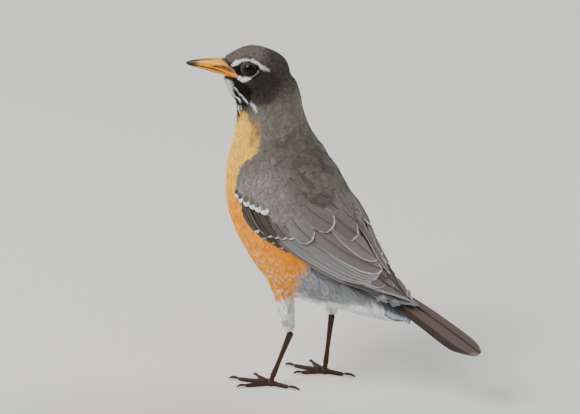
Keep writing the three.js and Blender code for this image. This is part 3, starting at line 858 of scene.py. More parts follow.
def sink_skin():
    points, normals = form_points, form_normals
    ribs, turns = on_body(points)
    depth = interpolated(ribs, COAT_DEPTH) * (1 - 0.5 * thigh_share(points))
    depth = depth + WING_DEPTH * under_wing(ribs, turns, 0.2)
    start = points - normals * 0.05
    hits = [form_tree.ray_cast(p, n, 30) for p, n in zip(start.tolist(), (-normals).tolist())]
    thick = np.array([hit[3] if hit[0] is not None else 30 for hit in hits])
    places = in_head(points)
    off_side = np.abs(places[:, 1]) < 5
    depth *= ramp(np.linalg.norm(round_eye(places), axis=1) + 9 * off_side, 1.0, 1.6)
    depth += BILL_CLEARANCE * (1 - ramp(from_bill(points), 0.8, 1.4))
    move_points(skin, points - normals * np.minimum(depth, THIN_SHARE * thick)[:, None])
    paint_points(skin, "plumage", markings(points)[0] * SKIN_PAINTED_SHADE)


sink_skin()
enter_piece(skin, "plumage", *FLESH)
print("skin:", len(skin.data.polygons), "faces")

# %% [markdown]
# ## Feather finish
# A feather's vane is made of barbs that slant out from its shaft like the veins of a leaf. One
# shader group turns a vane's own coordinates into four masks: the pale worn edge, the barbs, the
# shaft and fine streaks along the vane. Each kind of feather places the group with its own values.
# Node trees are long to write out, so a few helpers add the nodes that come again and again. The
# skin is the first to use them: it wears the markings under a fine down.

# %% Helpers for node trees, and the skin's finish
def new_group(name, inputs, outputs):
    """A shader group. inputs is {name: default}, where None makes a vector socket."""
    group = bpy.data.node_groups.new(name, "ShaderNodeTree")
    for socket, value in inputs.items():
        kind = "NodeSocketVector" if value is None else "NodeSocketFloat"
        made = group.interface.new_socket(socket, in_out="INPUT", socket_type=kind)
        if value is not None:
            made.default_value = value
    for socket in outputs:
        group.interface.new_socket(socket, in_out="OUTPUT", socket_type="NodeSocketFloat")
    return group, group.nodes.new("NodeGroupInput"), group.nodes.new("NodeGroupOutput")


def feed(tree, node, values):
    """Gives the node's sockets numbers, colours or links. values is {socket: value}."""
    for socket, value in values.items():
        if isinstance(value, bpy.types.NodeSocket):
            tree.links.new(value, node.inputs[socket])
        else:
            node.inputs[socket].default_value = value
    return node


def math_node(tree, operation, *values, clamp=False):
    """A Math node fed by sockets or numbers. Returns its output."""
    node = tree.nodes.new("ShaderNodeMath")
    node.operation = operation
    node.use_clamp = clamp
    return feed(tree, node, dict(enumerate(values))).outputs[0]


def rise_node(tree, value, low, high):
    """0 below low, 1 above high, smooth between."""
    node = tree.nodes.new("ShaderNodeMapRange")
    node.interpolation_type = "SMOOTHSTEP"
    feed(tree, node, {"Value": value, "From Min": low, "From Max": high})
    return node.outputs["Result"]


def noise_node(tree, scale, detail=2.0):
    """Noise on the object's own coordinates. Scale is in lumps for each metre."""
    place = tree.nodes.new("ShaderNodeTexCoord")
    node = tree.nodes.new("ShaderNodeTexNoise")
    feed(tree, node, {"Scale": scale, "Detail": detail, "Vector": place.outputs["Object"]})
    return node.outputs["Fac"]


def attribute_node(tree, name):
    node = tree.nodes.new("ShaderNodeAttribute")
    node.attribute_name = name
    return node


def mix_colours(tree, share, first, second):
    """A Mix node fed by sockets or colours. Returns its output."""
    node = tree.nodes.new("ShaderNodeMix")
    node.data_type = "RGBA"
    feed(tree, node, {0: share, 6: first, 7: second})
    return node.outputs[2]


def add_bump(tree, shader, height, distance, strength=1.0):
    """Relief from a height. distance is in metres."""
    bump = tree.nodes.new("ShaderNodeBump")
    feed(tree, bump, {"Strength": strength, "Distance": distance, "Height": height})
    tree.links.new(bump.outputs["Normal"], shader.inputs["Normal"])


def painted_finish(name, attribute, grain, shade, dark, relief=None, **sockets):
    """A finish that takes its colour from a mesh's points, darkened by grain that also gives it
    relief. grain, shade and relief are (scale, detail), (gain, offset) and (distance, strength)."""
    material, tree, shader = shader_material(name, **sockets)
    lumps = noise_node(tree, *grain)
    share = math_node(tree, "MULTIPLY_ADD", lumps, *shade, clamp=True)
    tone = attribute_node(tree, attribute).outputs["Color"]
    tree.links.new(mix_colours(tree, share, tone, dark), shader.inputs["Base Color"])
    if relief:
        add_bump(tree, shader, lumps, *relief)
    return material, tree, shader, lumps


skin_finish = painted_finish(
    "downy_skin", "plumage", (1500, 3), (0.5, 0.0), (0.03, 0.028, 0.025, 1), (0.0004,), Roughness=0.9,
)[0]
skin.data.materials.append(skin_finish)
print("the skin wears", skin_finish.name)

# %% [markdown]
# The group itself is made of three parts, each a small function: the rim, the barbs and the
# streaks. Its sockets have plain names, so that each kind of feather can say what it needs.

# %% Vane marks group
VANE_SOCKETS = {
    "Vane": None, "Barbs": 30.0, "Slant": 6.0, "Edge Width": 0.25, "Tip Width": 0.12,
    "Outer Only": 0.0, "Wear": 0.1, "Sides": 1.0, "Soft": 0.1, "Seed": 0.0,
}


def vane_edge(group, given, across, out, along):
    """The mask of the pale rim: the vane's sides, or the outer side only, and its tip."""
    both = math_node(group, "SUBTRACT", 1.0, given["Outer Only"])
    either = math_node(group, "MULTIPLY", out, both)
    outer = math_node(group, "MULTIPLY", across, given["Outer Only"])
    sided = math_node(group, "ADD", either, outer)
    lumps = math_node(group, "SUBTRACT", noise_node(group, 700), 0.5)
    rough = math_node(group, "MULTIPLY", lumps, given["Wear"])
    side_start = math_node(group, "SUBTRACT", 1.0, given["Edge Width"])
    side_end = math_node(group, "ADD", side_start, given["Soft"])
    side = rise_node(group, math_node(group, "ADD", sided, rough), side_start, side_end)
    side = math_node(group, "MULTIPLY", side, given["Sides"])
    side = math_node(group, "MULTIPLY", side, rise_node(group, along, 0.2, 0.8))
    tip_start = math_node(group, "SUBTRACT", 1.0, given["Tip Width"])
    tip_soft = math_node(group, "MULTIPLY", given["Soft"], 0.5)
    tip_end = math_node(group, "ADD", tip_start, tip_soft)
    worn = math_node(group, "MULTIPLY_ADD", rough, 0.4, along)
    round_tip = math_node(group, "MULTIPLY_ADD", math_node(group, "POWER", out, 2.0), 0.06, worn)
    tip = rise_node(group, round_tip, tip_start, tip_end)
    return math_node(group, "MAXIMUM", side, tip)


def vane_barbs(group, given, out, along):
    """Waves that slant back from the shaft."""
    counted = math_node(group, "MULTIPLY", along, given["Barbs"])
    slanted = math_node(group, "MULTIPLY", out, given["Slant"])
    phase = math_node(group, "SUBTRACT", counted, slanted)
    wave = math_node(group, "SINE", math_node(group, "MULTIPLY", phase, 2 * math.pi))
    return math_node(group, "MULTIPLY_ADD", wave, 0.5, 0.5)


def vane_streaks(group, given, across, along):
    """Noise drawn out along the vane, and different on each feather."""
    place = group.nodes.new("ShaderNodeCombineXYZ")
    feed(group, place, {
        "X": math_node(group, "MULTIPLY", across, 4.5),
        "Y": math_node(group, "MULTIPLY", along, 1.6),
        "Z": math_node(group, "MULTIPLY", given["Seed"], 60.0),
    })
    streak = group.nodes.new("ShaderNodeTexNoise")
    feed(group, streak, {"Scale": 1.0, "Detail": 3.0, "Vector": place.outputs[0]})
    return streak.outputs["Fac"]


def make_vane_marks():
    group, enter, leave = new_group("vane_marks", VANE_SOCKETS, ["Edge", "Barb", "Shaft", "Streak"])
    given = enter.outputs
    split = group.nodes.new("ShaderNodeSeparateXYZ")
    group.links.new(given["Vane"], split.inputs[0])
    along = split.outputs["Y"]
    across = math_node(group, "MULTIPLY_ADD", split.outputs["X"], 2.0, -1.0)
    out = math_node(group, "ABSOLUTE", across)
    shaft = math_node(group, "SUBTRACT", 1.0, rise_node(group, out, 0.02, 0.09))
    feed(group, leave, {
        "Edge": vane_edge(group, given, across, out, along),
        "Barb": vane_barbs(group, given, out, along),
        "Shaft": shaft,
        "Streak": vane_streaks(group, given, across, along),
    })
    return group


vane_marks = make_vane_marks()
print("group sockets:", [item.name for item in vane_marks.interface.items_tree])

# %% [markdown]
# The finish of every feather reads its colour from the mesh, lays the edge's colour over it
# where the group says so, and darkens it a little between barbs and along the shaft. The barbs
# and the shaft also make the height that a Bump node turns into relief.

# %% Feather materials
SHAFT_TONE = (0.02, 0.015, 0.01, 1)
STREAK_TONE = (0.02, 0.016, 0.012, 1)
BARB_DARK = 0.16  # how much darker it is between barbs
STREAK_START, STREAK_GAIN = 0.45, 2.4
FEATHER_RELIEF = 0.0002  # metres


def feather_material(name, streak=0.5, shaft=0.35, relief=0.35, roughness=0.78, **marks_given):
    """A feather's finish. marks_given holds values for the vane marks group."""
    material, tree, shader = shader_material(name, Roughness=roughness)
    shader.inputs["Specular IOR Level"].default_value = 0.15
    marks = tree.nodes.new("ShaderNodeGroup")
    marks.node_tree = vane_marks
    for socket, value in marks_given.items():
        marks.inputs[socket.replace("_", " ")].default_value = value
    vane = tree.nodes.new("ShaderNodeUVMap")
    vane.uv_map = "Vane"
    tree.links.new(vane.outputs["UV"], marks.inputs["Vane"])
    base = attribute_node(tree, "plumage")
    tree.links.new(base.outputs["Alpha"], marks.inputs["Seed"])
    rim = attribute_node(tree, "edge")
    rim_share = math_node(tree, "MULTIPLY", marks.outputs["Edge"], rim.outputs["Alpha"], clamp=True)
    colour = mix_colours(tree, rim_share, base.outputs["Color"], rim.outputs["Color"])
    barb_dark = math_node(tree, "MULTIPLY_ADD", marks.outputs["Barb"], -BARB_DARK, BARB_DARK)
    colour = mix_colours(tree, barb_dark, colour, (0.0, 0.0, 0.0, 1))
    shaft_share = math_node(tree, "MULTIPLY", marks.outputs["Shaft"], shaft)
    colour = mix_colours(tree, shaft_share, colour, SHAFT_TONE)
    streaks = math_node(tree, "SUBTRACT", marks.outputs["Streak"], STREAK_START)
    streaks = math_node(tree, "MULTIPLY", streaks, STREAK_GAIN * streak, clamp=True)
    colour = mix_colours(tree, streaks, colour, STREAK_TONE)
    tree.links.new(colour, shader.inputs["Base Color"])
    ridge = math_node(tree, "MULTIPLY", marks.outputs["Shaft"], 2.0)
    height = math_node(tree, "ADD", marks.outputs["Barb"], ridge)
    add_bump(tree, shader, height, FEATHER_RELIEF, relief)
    return material


plume_finish = feather_material(
    "soft_plumage", Barbs=30, Slant=5, Edge_Width=0.5, Tip_Width=0.22, Wear=0.3, Sides=0.35,
    Soft=0.45, streak=0.55, shaft=0.2,
)
flight_finish = feather_material(
    "flight_feather", Barbs=110, Slant=5, Edge_Width=0.14, Tip_Width=0.022, Outer_Only=0.45,
    Wear=0.08, Sides=0.75, streak=0.3, relief=0.15, roughness=0.6,
)
covert_finish = feather_material(
    "wing_covert", Barbs=45, Slant=5, Edge_Width=0.1, Tip_Width=0.07, Wear=0.3, Sides=0.45,
    streak=0.35, relief=0.2, roughness=0.68,
)
spotted_finish = feather_material(
    "spotted_covert", Barbs=45, Slant=5, Edge_Width=0.2, Tip_Width=0.2, Wear=0.5, Sides=0.3,
    streak=0.3, roughness=0.68,
)
tail_finish = feather_material(
    "tail_feather", Barbs=150, Slant=4, Edge_Width=0.05, Tip_Width=0.008, Wear=0.05, Sides=0.6,
    streak=0.25, shaft=0.4, relief=0.15, roughness=0.58,
)
feather_finishes = (plume_finish, flight_finish, covert_finish, spotted_finish, tail_finish)
print("finishes:", [finish.name for finish in feather_finishes])

# %% [markdown]
# ## One feather of each kind
# A vane starts as a flat grid. Each crosswise row is scaled to the feather's outline, the middle
# column is raised into a crown, and the last row's points are pulled to and fro so that the tip
# is frayed. A small body feather is closed by one face underneath. A flight feather is extruded
# to a thickness instead, and a ridge along its middle is its shaft.

# %% A modelled feather
def edit_points(piece, chosen):
    """In edit mode, selects the points for which chosen(x, y) is true."""
    mesh = bmesh.from_edit_mesh(piece.data)
    for vertex in mesh.verts:
        vertex.select = bool(chosen(vertex.co.x, vertex.co.y))
    mesh.select_flush_mode()
    bmesh.update_edit_mesh(piece.data)


class Vane:
    """A modelled feather's points, in half widths across and up and in lengths along.

    own holds its flat coordinates: 0 to 1 from edge to edge, and 0 to 1 from root to tip."""

    def __init__(self, piece, outline):
        apply_modifier(piece, "TRIANGULATE")
        self.points = points_of(piece) * MM
        self.faces = np.array([face.vertices[:] for face in piece.data.polygons])
        across = self.points[:, 0] / interpolated(self.points[:, 1], outline)
        self.own = np.clip(np.stack([across / 2 + 0.5, self.points[:, 1]], axis=1), 0, 1)
        bpy.data.objects.remove(piece)


FRAY = [0, 0.9, -0.7, 0.5, -0.3, 1, -0.9, 0.4, 0]  # how far each column's tip is pulled
TIP_ROUND = 0.09  # how far a tip's corners are drawn back, in lengths
SHAFT_RIDGE = 0.1
ASIDE = 10  # columns already set are kept out of the way here, so that they aren't picked again


def model_vane(columns, rows, outline, crown, fray=0.0, shaft=False, thick=None):
    """outline gives (share of length, half width) pairs, and columns the places across."""
    bpy.ops.object.select_all(action="DESELECT")
    bpy.ops.mesh.primitive_grid_add(x_subdivisions=len(columns) - 1, y_subdivisions=rows, size=2)
    piece = bpy.context.object
    bpy.ops.object.mode_set(mode="EDIT")
    even = np.linspace(-1, 1, len(columns))
    for place, column in zip(even, columns):
        edit_points(piece, lambda x, y, place=place: abs(x - place) < 0.01)
        high = crown * (1 - column**2) + (SHAFT_RIDGE if shaft and abs(column) < 0.01 else 0)
        bpy.ops.transform.translate(value=(ASIDE + column - place, 0, high))
    edit_points(piece, lambda x, y: True)
    bpy.ops.transform.translate(value=(-ASIDE, 1, 0))
    bpy.ops.transform.resize(value=(1, 0.5, 1), center_override=(0, 0, 0))
    for row in range(rows + 1):
        along = row / rows
        edit_points(piece, lambda x, y, along=along: abs(y - along) < 0.001)
        half = float(interpolated(along, outline))
        bpy.ops.transform.resize(value=(half, 1, 0.4 + 0.6 * half), center_override=(0, 0, 0))
    if fray:
        half = outline[-1][1]
        for number, column in enumerate(columns):
            edit_points(piece, lambda x, y, c=column: y > 0.85 and abs(x - c * half) < 0.01)
            bpy.ops.transform.translate(value=(0, fray * FRAY[number] - TIP_ROUND * column**2, 0))
    if thick is None:
        bpy.ops.mesh.select_all(action="SELECT")
        bpy.ops.mesh.region_to_loop()
        bpy.ops.mesh.edge_face_add()
    else:
        bpy.ops.mesh.select_all(action="SELECT")
        bpy.ops.mesh.extrude_region_move(TRANSFORM_OT_translate={"value": (0, 0, -thick)})
    bpy.ops.mesh.select_all(action="SELECT")
    bpy.ops.mesh.normals_make_consistent(inside=False)
    bpy.ops.object.mode_set(mode="OBJECT")
    return Vane(piece, outline)


print("columns of a vane:", len(FRAY))

# %% Model the vanes
PLUME_OUTLINE = [(0, 0.3), (0.25, 0.75), (0.55, 1.0), (0.8, 0.9), (1, 0.5)]
FLIGHT_OUTLINE = [
    (0, 0.25), (0.15, 0.6), (0.45, 0.95), (0.8, 1.0), (0.92, 0.8), (0.97, 0.55), (1, 0.22),
]
COVERT_OUTLINE = [
    (0, 0.3), (0.2, 0.7), (0.5, 0.95), (0.78, 1.0), (0.9, 0.85), (0.96, 0.6), (1, 0.25),
]
PLUME_COLUMNS = [-1, -0.72, -0.45, -0.2, 0, 0.2, 0.45, 0.72, 1]
FLIGHT_COLUMNS = [-1, -0.7, -0.35, -0.06, 0, 0.06, 0.35, 0.7, 1]
plume_vane = model_vane(PLUME_COLUMNS, 5, PLUME_OUTLINE, 0.08, fray=0.03)
downy_vane = model_vane(PLUME_COLUMNS, 5, PLUME_OUTLINE, 0.1, fray=0.07)
flight_vane = model_vane(FLIGHT_COLUMNS, 24, FLIGHT_OUTLINE, 0.05, shaft=True, thick=0.06)
covert_vane = model_vane(FLIGHT_COLUMNS, 14, COVERT_OUTLINE, 0.1, shaft=True, thick=0.06)
print("triangles:", len(plume_vane.faces), len(flight_vane.faces), len(covert_vane.faces))

# %% [markdown]
# ## Laying feathers
# A feather is laid along a middle line that follows the body. Its points are spread to the sides
# of that line, square to the surface, and bent round the body's own curve. Arrays do this for all
# the feathers of a tract at once.

# %% Bend vanes along lines
def lay_vanes(vane, lines, normals, halves, tile=0.0, bend=0.0):
    """Points of one vane laid along each line. lines and normals hold a few points each."""
    steps = lines.shape[1] - 1
    along = np.clip(vane.points[:, 1], -0.2, 1.2) * steps
    i = np.clip(np.floor(along).astype(int), 0, steps - 1)
    f = (along - i)[None, :, None]
    base = lines[:, i] * (1 - f) + lines[:, i + 1] * f
    tangents = unit(np.gradient(lines, axis=1))
    ahead = tangents[:, i] * (1 - f) + tangents[:, i + 1] * f
    up = unit(normals[:, i] * (1 - f) + normals[:, i + 1] * f)
    side = unit(np.cross(ahead, up))
    half = np.asarray(halves)[:, None]
    across = vane.points[None, :, 0] * half
    high = vane.points[None, :, 2] * half - tile * (half - across) - bend * across**2
    return base + side * across[..., None] + up * high[..., None]


print("a plume has", len(plume_vane.points), "points")

# %% [markdown]
# All the feathers of a tract become one mesh, with their colours, the coordinates along each
# vane, and the bake map, where each feather is a small patch at its root's place on the body's
# unwrap.

# %% Join feathers as one mesh
BAKE_PATCH = 0.003
SMOOTH_ANGLE = math.radians(50)
draw = np.random.default_rng(11)


def mesh_of(name, points, faces):
    """A mesh from arrays of points (millimetres) and triangles."""
    mesh = bpy.data.meshes.new(name)
    mesh.vertices.add(len(points))
    mesh.vertices.foreach_set("co", (points * MM).ravel())
    mesh.loops.add(len(faces) * 3)
    mesh.loops.foreach_set("vertex_index", faces.ravel())
    mesh.polygons.add(len(faces))
    mesh.polygons.foreach_set("loop_start", np.arange(0, len(faces) * 3, 3))
    mesh.update(calc_edges=True)
    mesh.validate()
    piece = bpy.data.objects.new(name, mesh)
    bpy.context.scene.collection.objects.link(piece)
    return piece


def add_map(piece, name, places):
    """A UV map with one place for each point."""
    corners = np.empty(len(piece.data.loops), np.int32)
    piece.data.loops.foreach_get("vertex_index", corners)
    layer = piece.data.uv_layers.new(name=name)
    layer.data.foreach_set("uv", places[corners].ravel())


def unwrap_of(points):
    """Places on the body's unwrap: the turn across and the rib up, from 0 to 1."""
    ribs, turns = on_body(points)
    return np.stack([turns / 360 + 0.5, 0.02 + 0.96 * ribs / LAST_RIB], axis=1)


def for_points(values, size):
    """Values of each feather or of each point, as one row for each point."""
    if values.ndim == 2:
        values = np.repeat(values[:, None], size, axis=1)
    return values.reshape(-1, values.shape[-1])


def join_vanes(name, vane, laid, colours, edges, finish, slot, *nodes, bake=None, flip=False):
    """One object from laid feathers. colours and edges are for each feather or each point."""
    count, size = laid.shape[:2]
    faces = (vane.faces[None] + np.arange(count)[:, None, None] * size).reshape(-1, 3)
    if flip:
        faces = faces[:, ::-1].copy()
    piece = mesh_of(name, laid.reshape(-1, 3), faces)
    if bake is None:
        root = unwrap_of(laid[:, vane.points[:, 1].argmin()])
        patch_place = root[:, None] + (vane.own[None] - 0.5) * BAKE_PATCH
    else:
        patch_place = bake(vane.own)
    add_map(piece, "OFBake", np.clip(patch_place, 0.001, 0.999).reshape(-1, 2))
    add_map(piece, "Vane", np.tile(vane.own, (count, 1)))
    seeds = np.repeat(draw.uniform(0, 1, count), size)[:, None]
    paint_points(piece, "plumage", np.hstack([for_points(colours, size), seeds]))
    paint_points(piece, "edge", for_points(edges, size))
    piece.data.materials.append(finish)
    pick_only(piece)
    bpy.ops.object.shade_smooth_by_angle(angle=SMOOTH_ANGLE)
    enter_piece(piece, slot, *nodes)
    return piece


print("a feather's patch on the bake map is", BAKE_PATCH, "across")

# %% [markdown]
# ## The coat
# Roots are strewn over the smooth form so that no two are closer than a share of the feather's
# length there: two millimetres long by the bill, twelve on the breast and back. A root dropped
# later than its near neighbours is thrown away, which keeps the spacing even with no pattern.
# From its root each feather walks along the lie of the coat, from the skin up to the form.

# %% Strew the roots
SPACING = [(2.8, 0.31), (3.8, 0.23), (8.4, 0.22), (9.2, 0.17)]  # of a feather's length, by rib
BACK_LENGTHS = [
    (0, 1.8), (0.7, 2.3), (1.6, 3.0), (2.4, 4.2), (3.2, 6.0), (4.2, 9), (5.2, 11), (6.5, 12),
]
BELLY_LENGTHS = [
    (0, 1.8), (0.8, 2.4), (2, 3.2), (3, 5), (4, 8), (5, 10), (7, 12), (8.2, 12), (9, 15),
]
FACE_NEAR, FACE_GROWTH = 1.3, 0.3  # length at the lid or the bill, and its growth away from it
THIGH_LENGTH = 4.8
SHOULDER_SHORTER = 0.4  # by this share
TRIES = (5, 1)  # roots tried on each face of the form, on the head and on the body
BILL_BARE = 0.75  # no roots nearer to the bill than this
LAST_ROOT = 9.75  # the rib where the coat ends


def feather_length(points, ribs, turns):
    belly = ramp(np.abs(turns), 70, 110)
    length = interpolated(ribs, BACK_LENGTHS) * (1 - belly) + interpolated(ribs, BELLY_LENGTHS) * belly
    places = in_head(points)
    off_side = np.abs(places[:, 1]) < 5
    eye_away = (np.linalg.norm(round_eye(places), axis=1) - 1) * OPENING.mean() + 99 * off_side
    near = np.minimum(eye_away, from_bill(points) - 0.8)
    length = np.minimum(length, FACE_NEAR + FACE_GROWTH * np.maximum(near, 0))
    shoulder = ramp(np.abs(turns), 50, 65) * ramp(ribs, 4.3, 4.7) * (turns_under_wing(ribs, turns) < 0)
    length = length * (1 - SHOULDER_SHORTER * shoulder)
    thigh = thigh_share(points)
    return length * (1 - thigh) + THIGH_LENGTH * thigh


def may_root(points, ribs, turns):
    """Whether a feather of the coat may root there: not in the eyes, nor under the wing."""
    places = in_head(points)
    in_eye = (np.linalg.norm(round_eye(places), axis=1) < 1.06) & (np.abs(places[:, 1]) > 6)
    under, turn = turns_under_wing(ribs, turns), np.abs(turns)
    covered = (under_wing(ribs, turns, 0) > 0.5) | ((ribs > 7.2) & (np.abs(under) < 6))
    covered |= (ribs > 8.5) & (turn < 44) | (ribs > 9.1) & (turn < 52)
    covered |= (ribs > 8.4) & (under < 7)
    return ~in_eye & ~covered & (from_bill(points) > BILL_BARE) & (ribs < LAST_ROOT)


def strew_roots():
    corners = np.array([form_points[list(face)[:4]] for face in form_faces if len(face) == 4])
    middles = corners.mean(axis=1)
    ribs, turns = on_body(middles)
    many = np.where(ribs < 3.0, *TRIES)
    chosen = np.repeat(np.arange(len(middles)), many)
    weights = draw.dirichlet([1, 1, 1, 1], len(chosen))
    points = np.einsum("nk,nkd->nd", weights, corners[chosen])
    ribs, turns = on_body(points)
    keep = may_root(points, ribs, turns)
    points, ribs, turns = points[keep], ribs[keep], turns[keep]
    lengths = feather_length(points, ribs, turns)
    tree = KDTree(len(points))
    for i, p in enumerate(points.tolist()):
        tree.insert(p, i)
    tree.balance()
    apart = interpolated(ribs, SPACING) * lengths
    free = np.ones(len(points), bool)
    kept = []
    for i in draw.permutation(len(points)):
        if free[i]:
            kept.append(i)
            free[[j for place, j, away in tree.find_range(points[i].tolist(), apart[i])]] = False
    return points[kept], ribs[kept], turns[kept], lengths[kept]


roots, root_ribs, root_turns, root_lengths = strew_roots()
print("feathers in the coat:", len(roots))

# %% [markdown]
# From its root each feather takes a few steps along the lie, and each step lands on the form
# again. Then the line is sunk to the skin at the root and lifted a little at the tip. A feather
# that would climb on to the wing, or turn over at a step in the form, is dropped.

# %% Walk along the lie
WALK = 3  # steps
LEAN_JITTER = 0.11  # how far feathers sway from the lie, in radians
LOWEST_LIFT, HIGHEST_LIFT = 0.008, 0.025  # of the tip, as shares of the length
TUCK = 1.3  # how far a feather's end slips under the wing's own feathers


def walk_feathers():
    count = len(roots)
    lengths = root_lengths * draw.uniform(0.88, 1.12, count)
    place, normal = on_form(roots)
    lines, normals = [place], [normal]
    for step in range(WALK):
        ahead = lie_of(place, normal)
        side = np.cross(ahead, normal)
        if step == 0:
            sway = draw.normal(0, LEAN_JITTER, count)[:, None]
        ahead = unit(ahead + side * sway)
        place, normal = on_form(place + ahead * (lengths / WALK)[:, None])
        lines.append(place)
        normals.append(normal)
    lines, normals = np.stack(lines, axis=1), np.stack(normals, axis=1)
    depth = interpolated(root_ribs, COAT_DEPTH) * 0.9
    loose = ramp(np.abs(root_turns), 90, 140) * ramp(root_ribs, 4.5, 6.5)
    lift = lengths * draw.uniform(LOWEST_LIFT, HIGHEST_LIFT, count) * (1 + 0.2 * loose)
    for step in range(WALK + 1):
        share = step / WALK
        ribs, turns = on_body(lines[:, step])
        high = -depth * (1 - share) + lift * share - TUCK * under_wing(ribs, turns, 0.3)
        lines[:, step] += normals[:, step] * high[:, None]
    starts, ends = (turns_under_wing(*on_body(lines[:, step])) for step in (0, WALK))
    climbs = (starts > 0) & (ends < 2) & (root_ribs > 5)
    turned = (normals[:, 0] * normals[:, WALK]).sum(axis=1) < 0.5
    return lines, normals, lengths, ~climbs & ~turned


coat_lines, coat_normals, coat_lengths, well_laid = walk_feathers()
coat_lines, coat_normals = coat_lines[well_laid], coat_normals[well_laid]
coat_lengths, roots = coat_lengths[well_laid], roots[well_laid]
root_ribs, root_turns = root_ribs[well_laid], root_turns[well_laid]
print("feathers dropped at steps in the form:", int((~well_laid).sum()))

# %% [markdown]
# The coat is one mesh for each tract of the plumage. On the head, where the markings are fine,
# each point of a feather takes the markings of its own place. On the body that place is drawn
# halfway to the feather's middle, so that a feather keeps nearly one colour.

# %% Lay the coat
HALF_SHARE = 0.34  # half width, as a share of the length
COAT_BEND = 0.018
DOWNY = ("breast", "belly", "undertail", "left_thigh", "right_thigh")


def tracts_of(colours):
    """Which feathers belong to each tract. A feather goes to the first that claims it."""
    turn = np.abs(root_turns)
    thigh = thigh_share(roots) > 0.5
    wing = (turns_under_wing(root_ribs, root_turns) < 0) & (root_ribs > WING_START) & (turn > 52)
    claims = {
        "left_thigh_plumage": thigh & (root_turns > 0),
        "right_thigh_plumage": thigh & (root_turns <= 0),
        "crown_and_cheek_plumage": (root_ribs < 2.9) & (turn < 108),
        "throat_plumage": (root_ribs < 3.3) & (turn >= 108),
        "left_shoulder_plumage": wing & (root_turns > 0),
        "right_shoulder_plumage": wing & (root_turns <= 0),
        "breast_plumage": (colours[:, 0] - colours[:, 2] > 0.2) & (root_ribs > 3),
        "neck_plumage": root_ribs < 4.5,
        "back_plumage": (turn < 75) & (root_ribs < 7.2),
        "belly_plumage": root_ribs < 8.7,
        "undertail_plumage": root_ribs >= 8.7,
    }
    taken = np.zeros(len(roots), bool)
    for name, claim in claims.items():
        yield name, claim & ~taken
        taken |= claim


def markings_on(laid, count):
    """Colours and edges of laid feathers, one row for each feather."""
    return (values.reshape(count, -1, values.shape[-1]) for values in markings(laid.reshape(-1, 3)))


def lay_coat():
    narrow = np.maximum(1 - ramp(root_ribs, 2.6, 3.6), ramp(root_ribs, 8.6, 9.0))
    body = ramp(root_ribs, 3.2, 4.2)
    halves = coat_lengths * HALF_SHARE * (1 - 0.28 * narrow) * (1 - 0.14 * body)
    halves = halves * draw.uniform(0.85, 1.15, len(roots))
    visible = coat_lines[:, 2]
    shade = draw.normal(1, 0.1, len(roots))[:, None]
    for name, chosen in tracts_of(markings(visible)[0]):
        count = int(chosen.sum())
        kind = downy_vane if name.startswith(DOWNY) else plume_vane
        lines, normals = coat_lines[chosen], coat_normals[chosen]
        points = lay_vanes(kind, lines, normals, halves[chosen], bend=COAT_BEND)
        own_share = 1 - 0.5 * ramp(root_ribs[chosen], 2.8, 3.6)[:, None, None]
        at = points * own_share + visible[chosen][:, None] * (1 - own_share)
        tone, rim = markings_on(at, count)
        rim[..., 3] *= np.clip(draw.normal(0.8, 0.3, count), 0.1, 1.3)[:, None]
        tone = tone * shade[chosen][:, None]
        rim = np.clip(rim, 0, 1)
        piece = join_vanes(name, kind, points, tone, rim, plume_finish, "plumage")
        print(name, count, "feathers,", len(piece.data.polygons), "triangles")


lay_coat()

# %% [markdown]
# ## The forehead
# The coat's roots lie on the flesh, but on a thrush short bristly feathers reach forward over the
# base of the bill, as far as the nostrils. They get roots on the horn itself, found by rays cast
# down from above, and walk back over the step between horn and forehead.

# %% Feathers on the base of the bill
FOREHEAD_LENGTH = 2.6
FOREHEAD_HALF = 0.5
FOREHEAD_FROM, FOREHEAD_TO, FOREHEAD_STEP = 12.8, 20.8, 0.36  # ahead of the head's middle
FOREHEAD_EDGE = [(12.5, 1.4), (13.1, 1.8), (16.9, 4.9), (20, 6.3), (20.8, 7.6)]  # ahead, up
FAN_STEP = 6.5  # degrees between rays
BILL_CORE = 3.0  # how high the rays aim, inside the bill


def on_horn_or_form(points):
    """The nearest places on the bill and head taken as one surface, with normals."""
    places, normals = np.empty_like(points), np.empty_like(points)
    for n, point in enumerate(points.tolist()):
        best = None
        for tree in (bill_tree, form_tree):
            place, normal, face, away = tree.find_nearest(point)
            level = (Vector(point) - place).dot(normal)
            if best is None or level < best:
                best, places[n], normals[n] = level, place, normal
    return places, normals


def forehead_roots():
    """Places on the upper half of the bill, up to the forehead's edge."""
    found = []
    for row in np.arange(FOREHEAD_FROM, FOREHEAD_TO, FOREHEAD_STEP):
        for turn in np.radians(np.arange(-84, 85, FAN_STEP) + draw.uniform(-3, 3)):
            ahead = row + draw.uniform(-0.25, 0.25)
            middle = from_head(ahead, 0.0, BILL_CORE)
            out = from_head(ahead, math.sin(turn), BILL_CORE + math.cos(turn)) - middle
            start = (middle + out * 14).tolist()
            place, normal, face, away = bill_tree.ray_cast(start, (-out).tolist())
            if place is None:
                continue
            if in_head(np.array([place]))[0, 2] > interpolated(ahead, FOREHEAD_EDGE):
                found.append(place[:])
    return np.array(found)


